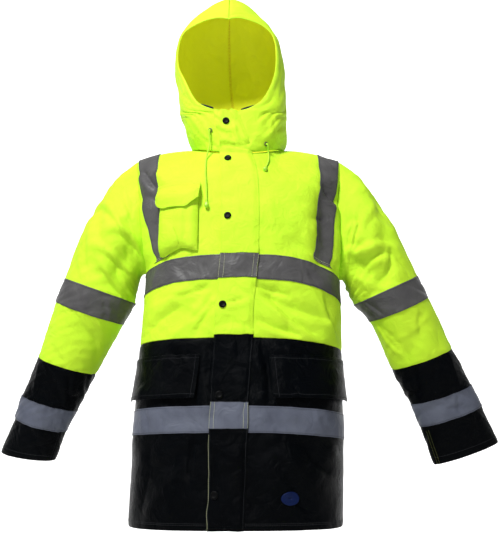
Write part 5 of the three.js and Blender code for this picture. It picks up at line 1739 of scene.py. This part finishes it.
@dataclass
class StormFlap:
    """The flap over the front's opening, lime above the colour seam and black below it.

    Its top edge rises and falls as the sum of two sines of X, and its sewn edge lies lower between tapes.
    """

    sewing: Stitching
    top_z: float = 57
    sewn_down: float = 1.5
    seam_up: float = 5.5
    tapes_up: tuple[float, float] = (2.0, 7.0)
    ENDS = np.array([0, 0.5, 1.2, 2.5])  # distances of the rows next to an end

    def strip(self, z: Array, u: Array) -> Spots:
        """The surface that the flap lies over.

        Args:
            z: heights of its rows.
            u: shares from its free edge (-1) to its sewn one (1).

        Returns:
            The spots.
        """
        centre, half = TORSO.FLAP.at("centre", z), TORSO.FLAP.at("half", z)
        x = centre[:, None] + u[None] * half[:, None]
        uneven = 2.0 * np.sin(x * 0.34 + 0.6) + 1.4 * np.sin(x * 0.61)
        return front_spots(x, z[:, None] + uneven * step(self.top_z - 34, self.top_z, z)[:, None])

    def build(self) -> None:
        """Makes both parts of the flap, the tapes on it and its stitches."""
        low, high = OVER_TAPE, OVER_TAPE + FLAP_CLOTH
        seam = COLOUR_SEAM_Z + self.seam_up
        u = np.unique(np.concatenate([np.linspace(-1, 1, 25), [-0.985, -0.96, -0.93, 0.93, 0.96, 0.985]]))
        parts = (("upper", seam + SEAM / 2, self.top_z, LIME, "lime_cloth"),
                 ("lower", HEM_Z, seam - SEAM / 2, BLACK, "black_cloth"))
        for part, foot, head, finish, slot in parts:
            z = np.unique(np.concatenate([
                np.arange(foot, head, 4.0), foot + self.ENDS[1:], head - self.ENDS]))
            spots = self.strip(z, u)
            over = sum(step(-TAPE_WIDTH - 12, -TAPE_WIDTH - 4, z - tape) * (1 - step(10, 18, z - tape))
                       for tape in (CHEST_TAPE_TOP_Z, HEM_TAPE_TOP_Z))
            sink = (1 - over)[:, None] * step(0.72, 0.96, u)[None]
            top = high - self.sewn_down * 1.4 * sink
            cloth_piece(f"storm_flap_{part}", spots, low - self.sewn_down * sink, top, finish, slot, FLAP_RIM)
            self.sewing.along(Thread.LIME if part == "upper" else Thread.BLACK, spots, top, cols=(3, -4))
            if part == "upper":
                rows = slice(*np.searchsorted(z, (-12, 32)))
                edge = spots.out((low + high) / 2)[rows, 0]
                self.sewing.add(Thread.ORANGE, edge, -unit(spots.p[rows, 1] - spots.p[rows, 0]))
            else:
                rows = slice(int(np.searchsorted(z, HEM_TAPE_TOP_Z - TAPE_WIDTH)))
                self.sewing.along(Thread.PALE, spots, high, cols=(1,), over=rows)
        tops = np.array([CHEST_TAPE_TOP_Z, HEM_TAPE_TOP_Z]) + self.tapes_up
        for band, top, finish in (("chest", tops[0], TAPE), ("hem", tops[1], TAPE_LOWER_PAINTED_LIGHTER)):
            spots = self.strip(top - TAPE_WIDTH * (1 - shares(10, extra=TAPE_STITCHES)), u)
            base = high + SEAM
            tape_piece(f"{band}_tape_flap", spots, finish, base)
            self.sewing.along(Thread.PALE, spots, base + TAPE_THICK, cols=(1, 6, -2, -7))
            self.sewing.along(Thread.TAPE, spots, base + TAPE_THICK, (3, -4))


@dataclass
class Pockets:
    """The chest pocket with its flap, and the hip pocket flaps."""

    sewing: Stitching
    left: float = -165
    right: float = -83
    top: float = -148
    foot: float = -264
    bulge: float = 15
    flap_left: float = -171
    flap_right: float = -80
    flap_top: float = -114
    flap_foot: float = -174
    chamfer: float = 20
    hip_inner: float = 74
    hip_top: float = -473
    hip_foot: float = -557
    hip_lift: float = 7
    hip_side: float = 86
    POUCH_FOLDS = [(-150, -190, -120, -240, 9, 1.8, 4), (-104, -176, -100, -250, 6, -2.4, 3, 0.5),
                   (-160, -200, -130, -176, 8, -1.8)]

    @property
    def start(self) -> float:
        """How far over the panel the pocket is sewn on."""
        return OVER_TAPE + 0.3 + FLAP_CLOTH / 2

    def chest_pocket(self) -> None:
        """The pouch: the panel's points moved out by a swell that is flat on top and falls at its edges."""
        ends = np.array([0.01, 0.03, 0.06])
        u = np.unique(np.concatenate([np.linspace(-1, 1, 41), 1 - ends, ends - 1]))
        x = mix(self.left, self.right, (u[None] + 1) / 2) + 0 * u[:, None]
        share = (u[:, None] + 1) / 2
        foot = self.foot + 7 * np.exp(-(((x + 112) / 20) ** 2)) - 7 * np.exp(-(((x + 151) / 15) ** 2))
        z = mix(foot, self.top, share)
        a, b = np.abs(u[None]), np.abs(u[:, None])
        swell = (1 - a**5) * (1 - b**6) * (0.82 + 0.18 * (1 - share))
        panel = TORSO.at_x(FRONT, x, z)
        crease = relief_of(folds_of(3, self.POUCH_FOLDS), x, z)
        points = panel.out(self.start + self.bulge * swell + crease * swell)
        spots = Spots.of(points, panel.n)
        flap_piece("chest_pocket", spots, LIME, "lime_cloth")

    def chest_flap(self) -> None:
        """The flap over the pouch, with its lower corners cut off."""
        u = np.unique(np.concatenate([np.linspace(-1, 1, 41), [-0.99, -0.97, 0.97, 0.99]]))
        v = shares(22)
        across_flap = np.abs(u[None])
        x = mix(self.flap_left, self.flap_right, (u[None] + 1) / 2) + 0 * v[:, None]
        foot = self.flap_foot + self.chamfer * np.clip((across_flap - 0.45) / 0.55, 0, 1)
        z = mix(self.flap_top, foot, v[:, None])
        panel = TORSO.at_x(FRONT, x, z)
        under = np.clip(v[:, None] * 1.6, 0, 1)
        hang = 1 - np.where(u[None] < 0, 0.55, 0.25) * across_flap**3
        lift = (self.bulge + FLAP_CLOTH + SEAM) * (under**2 * (3 - 2 * under)) * hang
        spots = Spots.of(panel.out(self.start + lift), panel.n)
        flap_piece("chest_pocket_flap", spots, LIME, "lime_cloth")
        self.sewing.along(Thread.LIME, spots, FLAP_CLOTH / 2, (-6, 5), (4, -5))

    def hip_flap(self, name: str, side: int) -> None:
        """A hip pocket flap, round to the side seam and standing off at its foot.

        Args:
            name: right or left.
            side: RIGHT or LEFT.
        """
        v, u = shares(24), shares(60)
        z = mix(self.hip_top, self.hip_foot, v)
        start_x = -self.hip_inner if side == RIGHT else self.hip_inner - 14
        shift, half = TORSO.PLAN.at("shift", z), TORSO.PLAN.at("half", z)
        inner = angle_of((start_x + side * 8 * v - shift) / half)
        angle = mix(inner[:, None], side * self.hip_side * np.pi / 180, u[None])
        panel = TORSO.spots(FRONT, angle, z[:, None] + 0 * angle)
        lift = ON_PANEL + FLAP_CLOTH / 2 + 0.9 + self.hip_lift * v[:, None] ** 1.3
        spots = Spots.of(panel.out(lift), panel.n)
        flap_piece(f"hip_pocket_flap_{name}", spots, BLACK, "black_cloth")
        self.sewing.along(Thread.BLACK, spots, FLAP_CLOTH / 2, (5, -6))
        self.sewing.along(Thread.BLACK, spots, FLAP_CLOTH / 2, cols=(5,))

    def build(self) -> None:
        """Makes every pocket piece."""
        self.chest_pocket()
        self.chest_flap()
        for name, side in SIDES:
            self.hip_flap(name, side)


def lathe(profile: Sequence[tuple[float, float]], place: Array, axis: Array,
          count: int = 32) -> tuple[Array, Array]:
    """A profile of radius and height turned round an axis.

    Args:
        profile: radius and height pairs; a radius of 0 closes the shape.
        place: where height 0 lies.
        axis: the unit vector of the axis.
        count: how many sides.

    Returns:
        Vertices and quads that face out when the profile rises on its outside.
    """
    axis = unit(axis)
    side = unit(np.cross(axis, [0.0, 0.3, 1.0]))
    ahead_of = np.cross(axis, side)
    turn = np.arange(count) * 2 * np.pi / count
    r, h = np.array(profile, float).T
    ring = side[None] * np.cos(turn)[:, None] + ahead_of[None] * np.sin(turn)[:, None]
    vertices = place + ring[None] * np.maximum(r, 0.01)[:, None, None] + axis * h[:, None, None]
    return vertices.reshape(-1, 3), grid_quads(len(r), count, True)


@dataclass
class Fasteners:
    """Snaps, the oval patch and the strips of hook tape at the throat."""

    radius: float = 7.5
    height: float = 3.0
    PLACES = ((-29, 31), (-24, -56), (-22.5, -192), (-32, -376), (-37, -552), (-43.5, -738))
    HOOK_TAPES = (("right", -87, -58, 77, 65, 3.2, 3.1), ("left", 3, 37, 54, 67, 8.5, 1.9))
    patch_x: float = 97
    patch_z: float = -744
    patch_half: tuple[float, float] = (17.5, 12.5)

    def snaps(self) -> None:
        """Snap caps with a rolled edge and a shallow dish."""
        r, h = self.radius, self.height
        profile = [(0, 0), (0.86 * r, 0), (0.95 * r, 0.08 * h), (r, 0.3 * h), (0.985 * r, 0.55 * h),
                   (0.92 * r, 0.8 * h), (0.8 * r, 0.96 * h), (0.68 * r, h), (0.58 * r, 0.95 * h),
                   (0.5 * r, 0.82 * h), (0.3 * r, 0.76 * h), (0.12 * r, 0.75 * h), (0, 0.75 * h)]
        for i, (x, z) in enumerate(self.PLACES):
            spot = front_spots(np.array([float(x)]), np.array([float(z)]))
            place = spot.p[0] + spot.n[0] * (OVER_TAPE + FLAP_CLOTH + SEAM + 0.1)
            piece = new_object(f"snap_cap_{i + 1}", *lathe(profile, place, spot.n[0]))
            attach(piece, SNAP_BLACK, "snap_black", f"snap_{i + 1}")

    def patch(self) -> None:
        """A bare oval patch with a raised rim, laid on the black front."""
        turn = np.linspace(0, 2 * np.pi, 48, endpoint=False)
        ring = np.array([0.02, 0.3, 0.6, 0.78, 0.84, 0.9, 0.96, 1.0])
        x = self.patch_x + ring[:, None] * self.patch_half[0] * np.cos(turn)
        z = self.patch_z + ring[:, None] * self.patch_half[1] * np.sin(turn)
        panel = TORSO.at_x(FRONT, x, z)
        spots = Spots(panel.p, panel.n, True)
        rim = 0.5 * np.exp(-(((ring[:, None] - 0.9) / 0.06) ** 2)) + 0 * x
        piece = wall("oval_badge", spots, ON_PANEL - 0.2, ON_PANEL + 1.6 + rim, rim=0.6)
        attach(piece, NAVY, "patch_navy", "oval_patch")

    def hook_tapes(self) -> None:
        """Dark strips behind the throat's top edge."""
        for name, x1, x2, z1, z2, show, behind in self.HOOK_TAPES:
            u, rise = shares(24)[None], mix(-6, show, shares(5))[:, None]
            x = mix(x1, x2, u) + 0 * rise
            z = mix(z1, z2, u) + rise
            spots = HOOD.throat(x, z)
            back = -SKIN - behind
            cloth_piece(f"hook_tape_{name}", spots, back - 1, back, HOOK, "hook_tape", rim=0.5)

    def build(self) -> None:
        """Makes them all."""
        self.snaps()
        self.patch()
        self.hook_tapes()


@dataclass
class Drawcords:
    """Two drawcords, each from its eyelet down to a moulded end, hanging just in front of the cloth."""

    radius: float = 1.75
    end_radius: float = 4.5
    end_length: float = 14.0
    eyelet_outer: float = 5.0
    eyelet_hole: float = 2.2
    eyelet_thick: float = 1.4
    eyelet_off: float = 1.1
    HOOD_FOOT_Z = -22
    ROUTES = {
        "right": (2.3, ((-64, 14), (-65.5, -14), (-69, -50), (-70, -88), (-68.5, -122), (-67, -158))),
        "left": (0.8, ((57, -14), (60, -34), (60, -56), (55, -76))),
    }

    def route(self, name: str) -> tuple[Array, Array, Array]:
        """The cord's middle line: straight out of the eyelet, then down over the cloth.

        Args:
            name: right or left.

        Returns:
            The points, the eyelet's place and the way it looks.
        """
        stand_off, places = self.ROUTES[name]
        x, z = np.array(places, float).T
        upper = HOOD.throat(x, z)
        lower = TORSO.at_x(FRONT, x, z)
        use = (z < self.HOOD_FOOT_Z)[:, None]
        p, n = np.where(use, lower.p, upper.p), np.where(use, lower.n, upper.n)
        mouth = self.eyelet_off + self.eyelet_thick + SEAM
        points = np.concatenate([
            [p[0] + n[0] * mouth], [p[0] + n[0] * (mouth + 4) + np.array([0, 0, -1])],
            p[1:] + n[1:] * (ON_PANEL + self.radius + stand_off)])
        return points, p[0], n[0]

    @staticmethod
    def smooth_line(points: Array, count: int = 12) -> Array:
        """A curve through the points: cubic pieces whose pace follows the square root of each gap.

        Args:
            points: what it goes through.
            count: how many steps each piece has.

        Returns:
            Points of the curve.
        """
        ends = np.concatenate([[2 * points[0] - points[1]], points, [2 * points[-1] - points[-2]]])
        gaps = np.linalg.norm(np.diff(ends, axis=0), axis=1) ** 0.5
        u = np.linspace(0, 1, count, endpoint=False)[:, None]
        line = []
        for i in range(1, len(ends) - 2):
            a, b, c, d = ends[i - 1:i + 3]
            g0, g1, g2 = gaps[i - 1:i + 2]
            m1 = g1 * ((b - a) / g0 - (c - a) / (g0 + g1) + (c - b) / g1)
            m2 = g1 * ((c - b) / g1 - (d - b) / (g1 + g2) + (d - c) / g2)
            line.append(hermite(b, c, m1, m2, u))
        return np.concatenate([*line, points[-1:]])

    def tube(self, name: str, line: Array) -> bpy.types.Object:
        """A round cord along a line, with a faint braid, closed at both ends.

        Args:
            name: the piece's name.
            line: its middle line.

        Returns:
            The object.
        """
        sides = 16
        along = unit(np.gradient(line, axis=0))
        side = unit(np.cross(along, [0.0, 1.0, 0.0]))
        other = np.cross(along, side)
        gone = distances(line)
        turn = np.arange(sides) * 2 * np.pi / sides
        strands, run = 4 * turn[None], gone[:, None] * 2.2
        braid = 1 + 0.03 * np.cos(strands + run) * np.cos(strands - run)
        ring = side[:, None] * np.cos(turn)[:, None] + other[:, None] * np.sin(turn)[:, None]
        body = line[:, None] + ring * (self.radius * braid)[..., None]
        caps = [line[:1, None] + ring[:1] * 0.01, line[-1:, None] + ring[-1:] * 0.01]
        vertices = np.concatenate([caps[0], body, caps[1]])
        rows, vertices = len(vertices), vertices.reshape(-1, 3)
        j, i = np.meshgrid(np.arange(rows - 1), np.arange(sides), indexing="ij")
        k = (i + 1) % sides
        quads = np.stack([j * sides + i, (j + 1) * sides + i, (j + 1) * sides + k, j * sides + k], -1)
        return new_object(name, vertices, outward_faces(vertices, quads.reshape(-1, 4)))

    def build(self) -> None:
        r, length = self.end_radius, self.end_length
        profile = [(0, 0), (0.38 * r, 0), (0.5 * r, 0.06 * length), (0.7 * r, 0.2 * length),
                   (0.9 * r, 0.4 * length), (r, 0.62 * length), (0.98 * r, 0.8 * length),
                   (0.85 * r, 0.93 * length), (0.6 * r, length), (0, length)]
        hole, outer, thick = self.eyelet_hole, self.eyelet_outer, self.eyelet_thick
        ring = [(hole, 0), (outer, 0), (outer, 0.4 * thick), (0.86 * outer, 0.85 * thick),
                (0.7 * outer, thick), (1.25 * hole, 0.9 * thick), (hole, 0.5 * thick), (hole, 0)]
        for name in ("right", "left"):
            points, place, n = self.route(name)
            line = self.smooth_line(points)
            eyelet = new_object(f"eyelet_ring_{name}", *lathe(ring, place + n * self.eyelet_off, n))
            attach(eyelet, EYELET, "cord_end", f"eyelet_{name}")
            along = unit(line[-1] - line[-2])
            end = new_object(f"cord_stop_{name}", *lathe(profile, line[-1] + along * SEAM, along))
            attach(end, PLASTIC, "cord_end", f"cord_end_{name}")
            cord = self.tube(f"drawcord_braid_{name}", line)
            attach(cord, CORD_LIME, "lime_cord", f"drawcord_{name}")


def outward_faces(vertices: Array, faces: Array) -> Array:
    """Faces turned round where they enclose a negative volume.

    Args:
        vertices: the shape's vertices.
        faces: its quads.

    Returns:
        Quads that all face out.
    """
    a, b, c = (vertices[faces[:, k]] for k in range(3))
    d = vertices[faces[:, 3]]
    volume = np.sum(a * np.cross(b, c)) + np.sum(a * np.cross(c, d))
    return faces[:, ::-1] if volume < 0 else faces


@dataclass
class Studio:
    """Camera, pale floor with a backdrop that rises behind it, and soft lights."""

    eye: tuple[float, float, float] = (0.022, -1.75, -0.664)
    pitch: float = 12.87
    lens: float = 55.72
    floor_z: float = -0.98
    key: float = 102.0
    fill: float = 6.0
    world: float = 0.16

    def camera(self) -> None:
        """A camera in front of the jacket and a little below its middle, looking up."""
        data = bpy.data.cameras.new("camera")
        data.lens, data.sensor_width = self.lens, 36
        data.clip_start, data.clip_end = 0.05, 50
        camera = bpy.data.objects.new("camera", data)
        camera.location = self.eye
        camera.rotation_euler = (math.radians(90 + self.pitch), 0, 0)
        bpy.context.scene.collection.objects.link(camera)
        bpy.context.scene.camera = camera

    def backdrop(self) -> None:
        """A sheet along the floor, a quarter circle and a wall behind, brighter towards the back."""
        radius, front, back, top, half_width = 3400.0, -14000.0, 7500.0, 8500.0, 15000.0
        turn = np.linspace(0, np.pi / 2, 24)
        y = np.concatenate([[front], back - radius + radius * np.sin(turn), [back]])
        z = np.concatenate([[0], radius - radius * np.cos(turn), [top]]) + self.floor_z / MM
        x = np.linspace(-half_width, half_width, 9)
        points = np.stack(np.broadcast_arrays(x[None], y[:, None], z[:, None]), -1)
        piece = new_object("backdrop", points.reshape(-1, 3), grid_quads(len(y), len(x), False))
        material = Finishes.of(STUDIO_WHITE)
        shader = material.node_tree.nodes["Principled BSDF"]
        shader.inputs["Emission Color"].default_value = (1, 1, 1, 1)
        nodes, links = material.node_tree.nodes, material.node_tree.links
        place, split = nodes.new("ShaderNodeTexCoord"), nodes.new("ShaderNodeSeparateXYZ")
        rise = nodes.new("ShaderNodeMapRange")
        rise.inputs["From Min"].default_value, rise.inputs["From Max"].default_value = 1.0, 1.9
        rise.inputs["To Max"].default_value = 1.1
        links.new(place.outputs["Object"], split.inputs["Vector"])
        links.new(split.outputs["Y"], rise.inputs["Value"])
        links.new(rise.outputs["Result"], shader.inputs["Emission Strength"])
        piece.data.materials.append(material)

    def area_light(self, name: str, place: tuple[float, float, float], size: float, power: float) -> None:
        """A square soft light that looks at the jacket's chest.

        Args:
            name: the light's name.
            place: where it stands, in metres.
            size: its side.
            power: its power in watts.
        """
        data = bpy.data.lights.new(name, "AREA")
        data.shape, data.size, data.energy = "SQUARE", size, power
        light = bpy.data.objects.new(name, data)
        light.location = place
        target = np.array([0.02, 0, -0.3])
        way = unit(target - np.array(place))
        yaw = math.atan2(-way[0], way[1])
        tilt = math.acos(-way[2])
        light.rotation_euler = (tilt, 0, yaw)
        bpy.context.scene.collection.objects.link(light)

    def lights(self) -> None:
        """A key from the upper left of the view, a fill from the right and an even pale world."""
        self.area_light("key", (-0.9, -1.7, 1.75), 0.6, self.key)
        self.area_light("fill", (2.4, -2.2, 0.2), 2.0, self.fill)
        world = bpy.data.worlds.new("studio")
        world.use_nodes = True
        background = world.node_tree.nodes["Background"]
        background.inputs["Color"].default_value = (1, 1, 1, 1)
        background.inputs["Strength"].default_value = self.world
        bpy.context.scene.world = world
        bpy.context.scene.view_settings.view_transform = "Standard"


def main() -> None:
    """Builds the jacket piece by piece in the studio."""
    logging.basicConfig(level=logging.INFO, format="%(name)s: %(message)s")
    studio = Studio()
    studio.camera()
    Drawcords().build()
    sewing = Stitching()
    maker = Sleeves(sewing)
    sleeves = maker.make()
    Body(sewing, sleeves).build()
    Braces(sewing).build()
    maker.build(sleeves)
    CollarAndHood(sewing).build()
    StormFlap(sewing).build()
    Pockets(sewing).build()
    Fasteners().build()
    sewing.build()
    studio.backdrop()
    studio.lights()


if __name__ == "__main__":
    main()
